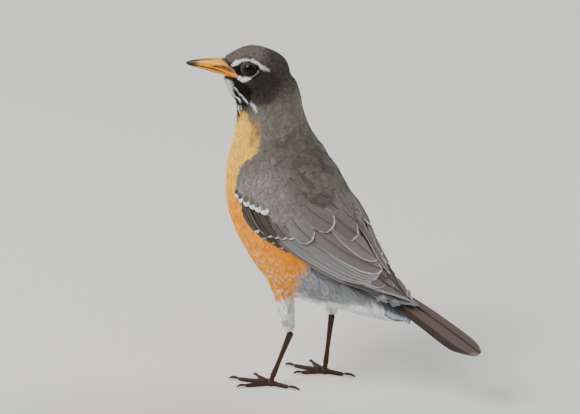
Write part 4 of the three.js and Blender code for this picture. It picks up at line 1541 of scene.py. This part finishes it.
def lay_forehead():
    start = forehead_roots()
    place, normal = on_horn_or_form(start)
    lines, normals = [place - normal * 0.1], [normal]
    for step in range(1, WALK + 1):
        back = -HEAD_AHEAD + 0.25 * UP
        ahead = unit(back - normal * (normal @ back)[:, None])
        place, normal = on_horn_or_form(place + ahead * FOREHEAD_LENGTH / WALK)
        lines.append(place + normal * (0.06 + 0.12 * step))
        normals.append(normal)
    lines, normals = np.stack(lines, axis=1), np.stack(normals, axis=1)
    halves = np.full(len(lines), FOREHEAD_HALF)
    laid = lay_vanes(plume_vane, lines, normals, halves, bend=COAT_BEND)
    tone, rim = markings_on(laid, len(lines))
    shade = draw.normal(1, 0.12, len(lines))[:, None, None]
    join_vanes("forehead_plumage", plume_vane, laid, tone * shade, rim, plume_finish, "plumage")
    print("forehead:", len(lines), "feathers")


lay_forehead()

# %% [markdown]
# ## The folded wing
# Each row of wing feathers is given by where its feathers' roots, middles and tips lie, from the
# innermost feather to the outermost. Every feather lies over the next one out, so only its outer
# edge shows, as tiles do; tile is the slope that tucks its inner edge under. The left wing is
# laid on the form, and the right one is its mirror image. Rays cast inwards at each rib and turn
# find the form, and the steps between the wing's solids are smoothed away along each feather.

# %% Middle lines on the wing
LINE_POINTS = 9
RAY_START = 90.0  # how far out a ray starts
BESIDE = 12.0  # where a ray that misses looks for the nearest place instead


def over_form(ribs, turns):
    """Points of the form's outside at ribs and turns, with directions outwards."""
    middle, up, left, tailward = rib_axes(ribs)
    angle = np.radians(turns)[..., None]
    out = unit(up * np.cos(angle) + left * np.sin(angle))
    start = middle + out * RAY_START
    reach = np.empty(ribs.shape)
    facing = np.empty(ribs.shape + (3,))
    for n in np.ndindex(ribs.shape):
        place, normal, face, away = form_tree.ray_cast(start[n].tolist(), (-out[n]).tolist())
        if place is None:
            beside = (middle[n] + out[n] * BESIDE).tolist()
            place, normal, face, away = form_tree.find_nearest(beside)
            away = RAY_START - float((np.array(place) - middle[n]) @ out[n])
        reach[n] = RAY_START - away
        facing[n] = form_face_normals[face]
    return middle, out, reach, facing


def evened(values, rounds):
    """Values along lines with small steps smoothed away."""
    for _ in range(rounds):
        inner = (values[:, :-2] + 2 * values[:, 1:-1] + values[:, 2:]) / 4
        values = np.concatenate([values[:, :1], inner, values[:, -1:]], axis=1)
    return values


def spread_rows(rows, count):
    """Rows of numbers read evenly, count times."""
    rows = np.asarray(rows, float)
    return smooth_rows(rows, np.linspace(0, len(rows) - 1, count))


def lines_on_wing(roots, middles, tips, rises, step):
    """Middle lines of feathers, through (rib, turn) places. rises are heights along a feather, and
    step is how much lower each feather lies than the one before."""
    t = np.linspace(0, 1, LINE_POINTS)[None, :, None]
    path = roots[:, None] * (1 - t) * (1 - 2 * t) + middles[:, None] * 4 * t * (1 - t)
    path = path + tips[:, None] * t * (2 * t - 1)
    middle, out, reach, facing = over_form(path[..., 0], path[..., 1])
    normals = unit(evened(facing, 4))
    lines = middle + out * evened(reach, 2)[..., None]
    high = np.interp(t[0, :, 0], np.linspace(0, 1, len(rises)), rises)
    level = high[None] - step * np.arange(len(roots))[:, None]
    return lines + normals * level[..., None], normals


print("points along a feather's line:", LINE_POINTS)

# %% [markdown]
# A row's numbers are given for a few of its feathers and spread smoothly over all of them. The
# right wing is the left one mirrored, with its faces turned round again, and settled as the
# solids were. On the bake map each flight feather has a strip of its own.

# %% Make a row for both wings
BODY_BEND = 0.012  # a vane bends across by this much for each square millimetre
TONE_JITTER = 0.05


def strips_for(count):
    """The bake map of a row of flight feathers: a strip for each of them."""
    def strips(own):
        up = 0.02 + 0.96 * own[:, 1]
        return np.stack([
            np.stack([(number + 0.1 + 0.8 * own[:, 0]) / count, up], axis=1) for number in range(count)
        ])
    return strips


def mirrored(laid):
    """Laid feathers of the left wing as those of the right one."""
    return settle((laid * np.array([1, -1, 1])).reshape(-1, 3)).reshape(laid.shape)


def make_row(name, node, kind, count, lines, halves, tile, rises, tones, edges, step=0.0):
    """Both wings' feathers of one row. kind is a vane and its finish."""
    vane, finish = kind
    roots, middles, tips = (spread_rows(given, count) for given in lines)
    middle_lines, normals = lines_on_wing(roots, middles, tips, rises, step)
    half = spread_rows(np.array(halves)[:, None], count)[:, 0]
    left = lay_vanes(vane, middle_lines, normals, half, tile=tile, bend=BODY_BEND)
    tone = spread_rows([TONES[t] for t in tones], count)
    tone = tone * draw.normal(1, TONE_JITTER, count)[:, None]
    rim = np.clip(spread_rows([np.append(TONES[t], share) for t, share in edges], count), 0, 1)
    for side, laid in (("left", left), ("right", mirrored(left))):
        nodes = [f"{side}_wing_{node}"] if node else []
        join_vanes(
            f"{side}_{name}", vane, laid, tone, rim, finish, "flight_feathers", *nodes,
            bake=strips_for(count), flip=side == "right",
        )
    print(name, count, "feathers on each wing")


print("wing rows can be laid")

# %% [markdown]
# The long flight feathers are laid first, from the primaries at the wing's tip to the three
# tertials by the back. The coverts that hide their roots follow, each row over the one before,
# and the broad scapulars of the shoulder come last. Places are (rib, turn).

# %% The wing's rows
add_tones(
    primary="74665f", tertial="857a78", panel="848080", covert="7f7a78", covert_dark="4f443d",
    covert_brown="70645f", rim_white="f4f1ee", rim_grey="c4c3c2",
)
flight_kind, covert_kind = (flight_vane, flight_finish), (covert_vane, covert_finish)
spotted_kind = (covert_vane, spotted_finish)

make_row(
    "primaries", "primaries", flight_kind, 9,
    lines=(
        [(6.2, 60), (5.9, 110)],
        [(7.75, 28), (7.6, 42), (7.35, 62)],
        [(8.55, 14), (8.72, 20), (8.98, 14), (9.22, 9), (9.46, 5), (9.66, 3)],
    ),
    halves=[8, 7, 5.6, 4.6], tile=0.14, step=0.07, rises=[-0.3, 0, 0.35, 0.6],
    tones=["primary", "primary"], edges=[("rim_grey", 0.9), ("rim_grey", 0.9)],
)
make_row(
    "secondaries", "secondaries", flight_kind, 6,
    lines=([(6.2, 50), (6.1, 86)], [(7.3, 33), (7.1, 61)], [(8.3, 16), (8.42, 29)]),
    halves=[5.8, 5.2], tile=0.15, step=0.05, rises=[0.2, 0.5, 0.9, 1.0],
    tones=["panel", "panel"], edges=[("rim_grey", 0.75), ("rim_grey", 0.75)],
)
make_row(
    "tertials", None, flight_kind, 3,
    lines=(
        [(6.2, 8), (6.2, 34), (6.3, 52)],
        [(7.1, 4), (7.0, 26), (7.25, 37)],
        [(8.5, 3), (7.95, 10), (8.25, 13)],
    ),
    halves=[5, 6, 6.2], tile=0.06, rises=[0.2, 0.8, 1.3, 1.1],
    tones=["tertial", "tertial"], edges=[("rim_white", 0.6), ("rim_white", 0.8)],
)
make_row(
    "primary_coverts", None, covert_kind, 4,
    lines=([(5.95, 100), (5.6, 116)], [(6.45, 90), (6.05, 109)], [(6.9, 79), (6.4, 100)]),
    halves=[2.8, 2.6], tile=0.15, rises=[-0.4, 0.1, 0.35],
    tones=["covert_dark", "covert_dark"], edges=[("rim_grey", 0.7), ("rim_grey", 0.7)],
)
make_row(
    "greater_coverts", "coverts", covert_kind, 7,
    lines=(
        [(6.0, 66), (5.8, 80), (5.45, 97), (5.15, 125)],
        [(6.3, 64), (6.2, 78), (6.0, 93), (5.72, 117)],
        [(6.66, 60), (6.52, 73), (6.38, 87), (6.22, 105)],
    ),
    halves=[4.6, 4, 3.4, 3.2], tile=0.14, step=0.03, rises=[-1.0, 0.3, 0.9],
    tones=["covert", "covert_dark", "covert_dark"], edges=[("rim_white", 0.8), ("rim_white", 0.8)],
)
make_row(
    "median_coverts", None, spotted_kind, 6,
    lines=(
        [(5.45, 82), (5.15, 98), (4.85, 122)],
        [(5.6, 83), (5.35, 98), (5.06, 122)],
        [(5.88, 84), (5.6, 99), (5.3, 121)],
    ),
    halves=[3.0, 2.8, 2.6], tile=0.1, rises=[-0.9, 0, 0.9],
    tones=["covert", "covert_dark"], edges=[("rim_white", 1), ("rim_white", 1)],
)
make_row(
    "scapulars", None, covert_kind, 4,
    lines=(
        [(6.1, 10), (6.0, 34), (5.75, 50), (5.9, 64)],
        [(6.55, 7), (6.65, 26), (6.3, 42), (6.4, 60)],
        [(7.0, 4), (7.16, 17), (6.7, 32), (6.78, 54)],
    ),
    halves=[5, 6.8, 6.8, 5.8], tile=0.04, rises=[-1.3, 0.5, 1.4],
    tones=["covert", "covert_brown", "covert"], edges=[("rim_white", 0.6), ("rim_white", 0.6)],
)

# %% [markdown]
# ## The tail
# Twelve long feathers make the tail, closed to a narrow fan: the middle pair lies on top and each
# pair below it a little further out. They are one modelled vane, laid along straight lines that
# start under the rump and fall to the rear.

# %% Tail feathers
add_tones(tail="5e4d48", tail_dark="1d1814", tail_rim="b3a69e")
TAIL_ROOT = np.array([3.3, 0, 77.8])
TAIL_FALL = math.radians(26.7)
TAIL_LENGTH = 95.5
TAIL_PAIRS = 6
TAIL_HALVES = [8.6, 7.0]  # half widths of the middle pair and of the outermost
TAIL_FAN = 3.8  # how far out the outermost pair lies
TAIL_ARCH = 2.7  # how far it hangs under the middle pair
TAIL_STEP = 8.0  # how much shorter it is
TAIL_LEAN = 0.12  # how far it leans outwards
TAIL_LAP = 0.25  # a right feather lies this much under its left neighbour
TAIL_BOW, TAIL_DROOP = 1.3, 0.6  # the tail's own curve: up in the middle, down at the tip
# painted shade: the pairs under the middle one are darkened towards a near-black tone, as they lie in
# its shadow
TAIL_SHADOW = 0.55  # how dark the pairs under the middle one are
TAIL_OUTLINE = [
    (0, 0.3), (0.25, 0.6), (0.6, 0.95), (0.86, 1.0), (0.94, 0.88), (0.98, 0.62), (1, 0.32),
]


def tail_line(out, side, back, up):
    """Middle line of a feather. out is 0 for the middle pair and 1 for the outermost."""
    t = np.linspace(0, 1, LINE_POINTS)
    hang = TAIL_ARCH * out + (TAIL_LAP if side > 0 else 0)
    fall = hang * (0.5 + 0.5 * t) + TAIL_DROOP * t**2 - TAIL_BOW * np.sin(math.pi * t)
    length = TAIL_LENGTH - TAIL_STEP * out**2
    line = TAIL_ROOT + np.outer(length * t, back) - fall[:, None] * up
    line[:, 1] += side * TAIL_FAN * out * (0.6 + 0.4 * t)
    return line


def make_tail():
    vane = model_vane(FLIGHT_COLUMNS, 26, TAIL_OUTLINE, 0.03, shaft=True, thick=0.06)
    back = np.array([math.cos(TAIL_FALL), 0, -math.sin(TAIL_FALL)])
    up = np.array([math.sin(TAIL_FALL), 0, math.cos(TAIL_FALL)])
    # painted shade on the pairs that lie under the middle one
    under = TONES["tail"] * (1 - TAIL_SHADOW) + TONES["tail_dark"] * TAIL_SHADOW
    lines, normals, tones, halves = [], [], [], []
    for rank in reversed(range(TAIL_PAIRS)):
        out = rank / (TAIL_PAIRS - 1)
        for side in (1, -1):
            lines.append(tail_line(out, side, back, up))
            lean = unit(up + np.array([0, side * out * TAIL_LEAN, 0]))
            normals.append(np.tile(lean, (LINE_POINTS, 1)))
            tones.append(under if rank else TONES["tail"])
            halves.append(TAIL_HALVES[0] + (TAIL_HALVES[1] - TAIL_HALVES[0]) * ramp(out, 0, 0.3))
    laid = lay_vanes(vane, np.array(lines), np.array(normals), halves)
    rim = np.tile(np.append(TONES["tail_rim"], 0.5), (len(lines), 1))
    join_vanes(
        "tail_feathers", vane, laid, np.array(tones), rim, tail_finish, "tail_feathers", "tail",
        bake=strips_for(len(lines)),
    )
    print("tail feathers:", len(lines))


make_tail()

# %% [markdown]
# ## The bill
# The bill's two halves are copies of the solids, melted fine and smoothed so that the horn has no
# facets. Each nostril is a slot pressed into the side of the upper half, and painted near black
# inside as painted shade. The colour runs from orange at the base to a dusky ridge and a dark
# tip, and is painted on the points.

# %% Horn
horn, tree, shader, lumps = painted_finish(
    "horn", "horn", (900, 4), (0.3, -0.06), (0.09, 0.045, 0.01, 1), (0.0001, 0.25),
    Roughness=0.42, Coat_Weight=0.1, Coat_Roughness=0.3, Specular_IOR_Level=0.3,
)
tree.links.new(math_node(tree, "MULTIPLY_ADD", lumps, 0.2, 0.27), shader.inputs["Roughness"])
print("finish:", horn.name)

# %% Colours of the bill
# Lines along the bill, as (ahead, up): where its halves meet, and its ridge.
SHUT_LINE = [(4, -4), (11.3, -1.7), (18, 0.9), (24, 2.2), (30, 2.6), (36, 2.5), (42, 2.5)]
RIDGE_LINE = [(6, 1.2), (13, 5.6), (20, 7.7), (25, 7.4), (31, 6.4), (37, 4.8), (41.5, 2.9)]
TIP_START = 33.5  # how far ahead the dark tip starts on the upper half
add_tones(
    horn_orange="f08f00", horn_yellow="f2ad10", horn_brown="3f2405", horn_dusk="4a4236",
    horn_tip="0c0907",
)


def horn_colours(points):
    """Colours of places on the bill's solids."""
    places = in_head(points, SOLID_HEAD)
    ahead, high = places[:, 0], places[:, 2]
    over = high - interpolated(ahead, SHUT_LINE)
    thick = interpolated(ahead, RIDGE_LINE) - interpolated(ahead, SHUT_LINE)
    fine, blot = grain_at(points, 0.9, 2.0), grain_at(points, 2.6, 5.0)
    upper = ramp(over, -0.2, 0.6)
    colours = all_of("horn_orange", len(points))
    yellow = upper * (0.75 + 0.2 * blot) * ramp(ahead, 14, 22)
    colours = lay_over(colours, "horn_yellow", yellow)
    shut = (1 - ramp(np.abs(over) + 0.2 * blot, 0.2, 0.85)) * ramp(ahead, 10, 24)
    colours = lay_over(colours, "horn_brown", shut * 0.85)
    groove = np.abs(over - 3.7 + 0.2 * (ahead - 14)) - 0.8 * (1 - ramp(ahead, 13, 22))
    groove = (1 - ramp(groove, 0.2, 1.3)) * (1 - ramp(ahead + 1.5 * blot, 21, 28))
    groove = groove * (np.abs(places[:, 1]) > 1.5)
    colours = lay_over(colours, "horn_brown", groove * (0.85 + 0.3 * fine))
    ridge = np.clip(over / np.maximum(thick, 0.5), 0, 1.3)
    ridge = ramp(ridge + 0.12 * blot, 0.72, 1.0) * ramp(ahead, 19, 30)
    colours = lay_over(colours, "horn_dusk", ridge * 0.8)
    past_tip = ahead - (TIP_START + 2.0 * (1 - upper) + 0.8 * blot)
    colours = lay_over(colours, "horn_dusk", ramp(past_tip, -4, 0.5) * 0.7)
    colours = lay_over(colours, "horn_tip", ramp(past_tip, -1.2, 2.4) * 0.93)
    return colours * (1 + 0.05 * fine)[:, None]


print("the bill is", round(RIDGE_LINE[3][1] - SHUT_LINE[3][1], 1), "mm high over the nostril")

# %% Bill
BILL_VOXEL = 0.28
BILL_ROUNDS = 8
NOSTRIL = np.array([22.8, 3.75])  # ahead, up
NOSTRIL_SIZE = np.array([1.5, 0.42])
NOSTRIL_TILT = math.radians(-14)
NOSTRIL_DEPTH = 0.7


def press_nostrils(piece):
    """Presses the slots, and returns how deep each point is in them, from 0 to 1."""
    points = points_of(piece)
    places = in_head(points, SOLID_HEAD)
    away = places[:, [0, 2]] - NOSTRIL
    cos, sin = math.cos(NOSTRIL_TILT), math.sin(NOSTRIL_TILT)
    turned = away @ np.array([[cos, -sin], [sin, cos]])
    reach = np.linalg.norm(turned / NOSTRIL_SIZE, axis=1)
    depth = NOSTRIL_DEPTH * (1 - ramp(reach, 0.45, 1.35)) * (np.abs(places[:, 1]) > 1.2)
    points -= (np.sign(places[:, 1]) * depth)[:, None] * HEAD_LEFT
    move_points(piece, points)
    return 1 - ramp(reach, 0.6, 1.3)


for half in ("upper_bill", "lower_bill"):
    piece = copy_of(f"{half}_horn", half, settled=False)
    melt(piece, BILL_VOXEL, BILL_ROUNDS, swell=0.05)
    # painted shade: points deep in a nostril's slot are painted near black
    nostril_shade = press_nostrils(piece) if half == "upper_bill" else np.zeros(len(piece.data.vertices))
    points = points_of(piece)
    paint_points(piece, "horn", lay_over(horn_colours(points), "horn_tip", nostril_shade))
    move_points(piece, settle(points))
    piece.data.materials.append(horn)
    enter_piece(piece, "bill", half)
    print(piece.name, len(piece.data.polygons), "faces")

# %% [markdown]
# ## The eyes
# An eye is a ball with a clear bulge in front. Its black pupil fills most of the opening and the
# iris is a dark brown ring. The ball is a sphere whose front points are pushed out, turned to look
# to its side, with pupil and iris painted on its points under a wet gloss.

# %% Eyeballs
PUPIL, IRIS = 2.75, 4.1  # radii
BULGE, BULGE_START = 0.3, 0.55  # how far the clear front stands out, and where it starts
add_tones(pupil="040404", iris="120903", iris_rim="0a0808")
wet_eye = painted_finish(
    "wet_eye", "iris", (3000, 2), (0.5, 0.0), (0.004, 0.003, 0.002, 1),
    Roughness=0.08, Coat_Weight=0.2, Coat_Roughness=0.02, Specular_IOR_Level=0.1,
)[0]


def make_ball(side, sign):
    bpy.ops.mesh.primitive_uv_sphere_add(segments=64, ring_count=40, radius=1)
    ball = bpy.context.object
    ball.name = f"{side}_eyeball"
    own = points_of(ball) * MM
    bulged = own + np.array([0, 0, BULGE / EYE_BALL]) * ramp(own[:, 2], BULGE_START, 1)[:, None]
    out = HEAD_LEFT * sign
    axes = np.array([HEAD_AHEAD, np.cross(out, HEAD_AHEAD), out])
    move_points(ball, eye_middles[side] + EYE_BALL * (bulged @ axes))
    away = np.linalg.norm(own[:, :2], axis=1) * EYE_BALL + 9 * (own[:, 2] < 0)
    colours = all_of("pupil", len(own))
    colours = lay_over(colours, "iris", ramp(away, PUPIL - 0.15, PUPIL + 0.25))
    colours = lay_over(colours, "iris_rim", ramp(away, IRIS - 0.5, IRIS + 0.3))
    paint_points(ball, "iris", colours)
    ball.data.materials.append(wet_eye)
    bpy.ops.object.shade_smooth()
    enter_piece(ball, "eye", f"{side}_eye")


print("an eyeball is", 2 * EYE_BALL, "mm across")

# %% [markdown]
# The lids are one soft dark rim on the ball. It starts as a torus: its ring is stretched to the
# oval opening, its tube is flattened and its points are set on the ball's surface. The upper lid
# stands out a little more, and the front corner is paler.

# %% Eyelids
LID_HALF = 0.5  # half the lid's width
LID_TUBE = 0.1  # radius of the torus's tube, which is then read as a width and a height
add_tones(lid="15110d", lid_corner="4e3512")
LID_LOWEST = 1.2  # a lid stands out from the ball's middle by at least this much


eyelid = painted_finish(
    "eyelid", "lid", (2500, 3), (0.5, 0.0), (0.01, 0.008, 0.006, 1), (0.00015,), Roughness=0.5,
)[0]


def make_lid(side, sign):
    bpy.ops.mesh.primitive_torus_add(
        major_segments=72, minor_segments=14, major_radius=1, minor_radius=LID_TUBE,
    )
    lid = bpy.context.object
    lid.name = f"{side}_eyelid"
    own = points_of(lid) * MM
    around = np.arctan2(own[:, 1], own[:, 0])
    ring = np.stack([np.cos(around), np.sin(around)], axis=1)
    wide = (np.linalg.norm(own[:, :2], axis=1) - 1) / LID_TUBE
    high = own[:, 2] / LID_TUBE
    upper = ramp(np.sin(around), -0.2, 0.8)
    flat = OPENING_SHIFT + ring * (OPENING + (0.1 + LID_HALF * wide)[:, None])
    places = np.stack([EYE_AHEAD + flat[:, 0], np.zeros(len(flat)), EYE_HIGH + flat[:, 1]], axis=1)
    proud = 0.1 + 0.12 * upper + (0.3 + 0.15 * upper) * high
    facing = np.sqrt(np.maximum(1 - (flat**2).sum(1) / EYE_BALL**2, 0))
    level = ball_side(places) + BULGE * ramp(facing, BULGE_START, 1)
    level = np.maximum(level, EYE_OUT + LID_LOWEST)
    move_points(lid, from_head(places[:, :1], sign * (level + proud)[:, None], places[:, 2:]))
    front = ramp(np.cos(around), 0.75, 0.95)
    colours = lay_over(all_of("lid", len(own)), "lid_corner", front * 0.8)
    paint_points(lid, "lid", colours)
    lid.data.materials.append(eyelid)
    bpy.ops.object.mode_set(mode="EDIT")
    bpy.ops.mesh.select_all(action="SELECT")
    bpy.ops.mesh.normals_make_consistent(inside=False)
    bpy.ops.object.mode_set(mode="OBJECT")
    bpy.ops.object.shade_smooth()
    enter_piece(lid, "plumage")


for side, sign in (("left", 1), ("right", -1)):
    make_ball(side, sign)
    make_lid(side, sign)
print("lids round an opening of", (2 * OPENING).tolist(), "mm")

# %% [markdown]
# ## Legs, feet and claws
# The long bone above the toes is cased in one smooth plate, as in all thrushes, with a few broad
# scales just above the foot and short ones along each toe. The scales are pressed into the melted
# copy of the leg. The claws are copies of the solids, subdivided so that they curve smoothly.

# %% Scales on a leg
TOE_SCALE, SHANK_SCALE = 1.35, 2.3  # lengths of a scale
TOES_BELOW, TOES_AWAY = 5.5, 2.6  # lower than this, and further from the foot, is a toe
LEG_ENDS = {  # heel and foot
    "left": (np.array([-22.1, -15.5, 33.6]), np.array([-34.6, -15.0, 2.2])),
    "right": (np.array([-10.3, 15.0, 35.6]), np.array([-14.4, 15.0, 2.2])),
}


def scales_on(points, normals, heel, foot):
    """At points of a leg: the depth of the seams between scales, the rise towards each scale's
    far end, both from 0 to 1, and whether the point is under a toe."""
    along = foot - heel
    share = np.clip((points - heel) @ along / (along @ along), 0, 1)
    down = share * np.linalg.norm(along)
    flat = np.linalg.norm(points[:, :2] - foot[:2], axis=1)
    on_toe = (points[:, 2] < TOES_BELOW) & (flat > TOES_AWAY)
    phase = np.where(on_toe, flat / TOE_SCALE, down / SHANK_SCALE)
    saw = phase - np.floor(phase)
    seam = 1 - ramp(np.minimum(saw, 1 - saw), 0.02, 0.17)
    on_plate = ramp(-normals[:, 0], 0.0, 0.5) * ramp(share, 0.68, 0.76)
    shown = np.where(on_toe, ramp(normals[:, 2], 0.0, 0.5), on_plate)
    under = on_toe & (normals[:, 2] < -0.3)
    return seam * shown, saw * shown, under


print("shank:", round(float(np.linalg.norm(np.subtract(*LEG_ENDS["left"]))), 1), "mm")

# %% [markdown]
# A leg is the shank, the foot and the toes melted together. Balls are joined to them first, at
# the ankle and where each claw starts, or smoothing would pinch the leg there. Legs and claws
# share one kind of finish, the claws' being smoother.

# %% Legs, toes and claws
LEG_VOXEL = 0.36
LEG_ROUNDS = 5
SCALE_DEPTH, SCALE_RISE = 0.13, 0.08
CLAW_BASE = 0.95  # radius of a toe where its claw starts
ANKLE_BALLS = ((0.0, 1.5), (0.07, 1.4), (0.13, 1.25))  # share of the way to the heel, and radius
FLOOR_GAP = 0.02  # the lowest that a foot reaches
TOES = ("middle", "inner", "outer", "hind")
add_tones(leg="331502", leg_pale="5f3410", leg_seam="140802", claw="16100c")
CLAW_SWELL = 0.12  # makes up for what the subdivision takes off a claw
scaly_skin, claw_horn = (
    painted_finish(
        name, "scales", (1300, 4), (0.6, -0.12), (0.02, 0.01, 0.005, 1), (0.0002, 0.5),
        Roughness=roughness, Specular_IOR_Level=0.3,
    )[0]
    for name, roughness in (("leg_scales", 0.5), ("claw_horn", 0.35))
)


def add_knuckle(leg, place, radius):
    """Joins a ball to the leg, so that the melt leaves no pinch at a joint."""
    bpy.ops.mesh.primitive_uv_sphere_add(
        segments=16, ring_count=10, radius=radius * MM, location=tuple(place * MM),
    )
    leg.select_set(True)
    bpy.context.view_layer.objects.active = leg
    bpy.ops.object.join()


def claws_of(side):
    return [f"{side}_{toe}_claw" for toe in TOES]


def make_leg(side):
    heel, foot = LEG_ENDS[side]
    leg = copy_of(f"{side}_leg", f"{side}_shank", f"{side}_foot", *claws_of(side))
    for share, radius in ANKLE_BALLS:
        add_knuckle(leg, foot + (heel - foot) * share, radius)
    for node in claws_of(side):
        claw = points_of(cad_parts[node])
        away = np.linalg.norm(claw - foot, axis=1)
        base = claw[away < away.min() + 0.7].mean(axis=0)
        add_knuckle(leg, base, CLAW_BASE)
        add_knuckle(leg, base + unit(foot - base) * 0.9, CLAW_BASE)
    melt(leg, LEG_VOXEL, LEG_ROUNDS, swell=0.12)
    points, normals = points_of(leg), normals_of(leg)
    seam, rise, under = scales_on(points, normals, heel, foot)
    points -= normals * (SCALE_DEPTH * seam - SCALE_RISE * rise)[:, None]
    points[:, 2] = np.maximum(points[:, 2], FLOOR_GAP)
    move_points(leg, points)
    colours = all_of("leg", len(points))
    back = ramp(normals[:, 0] + 0.5 * grain_at(points, 3.0, 1.0), 0.1, 0.8)
    colours = lay_over(colours, "leg_pale", back * 0.5 + 0.5 * under)
    colours = lay_over(colours, "leg_seam", seam * 0.8)
    paint_points(leg, "scales", colours)
    leg.data.materials.append(scaly_skin)
    enter_piece(leg, "leg", f"{side}_shank", f"{side}_foot")
    print(leg.name, len(leg.data.polygons), "faces, lowest point", round(points[:, 2].min(), 2))


def make_claws(side):
    claws = copy_of(f"{side}_claws", *claws_of(side))
    apply_modifier(claws, "SUBSURF", levels=2, render_levels=2)
    points = points_of(claws) + normals_of(claws) * CLAW_SWELL
    points[:, 2] = np.maximum(points[:, 2], FLOOR_GAP)
    move_points(claws, points)
    paint_points(claws, "scales", all_of("claw", len(points)))
    claws.data.materials.append(claw_horn)
    bpy.ops.object.shade_smooth()
    enter_piece(claws, "claw", *claws_of(side))
    print(claws.name, len(claws.data.polygons), "faces")


for side in ("left", "right"):
    make_leg(side)
    make_claws(side)

# %% Finish
full_box = [list(corner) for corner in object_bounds()]
print("box in millimetres:", [[round(v / MM, 1) for v in corner] for corner in full_box])
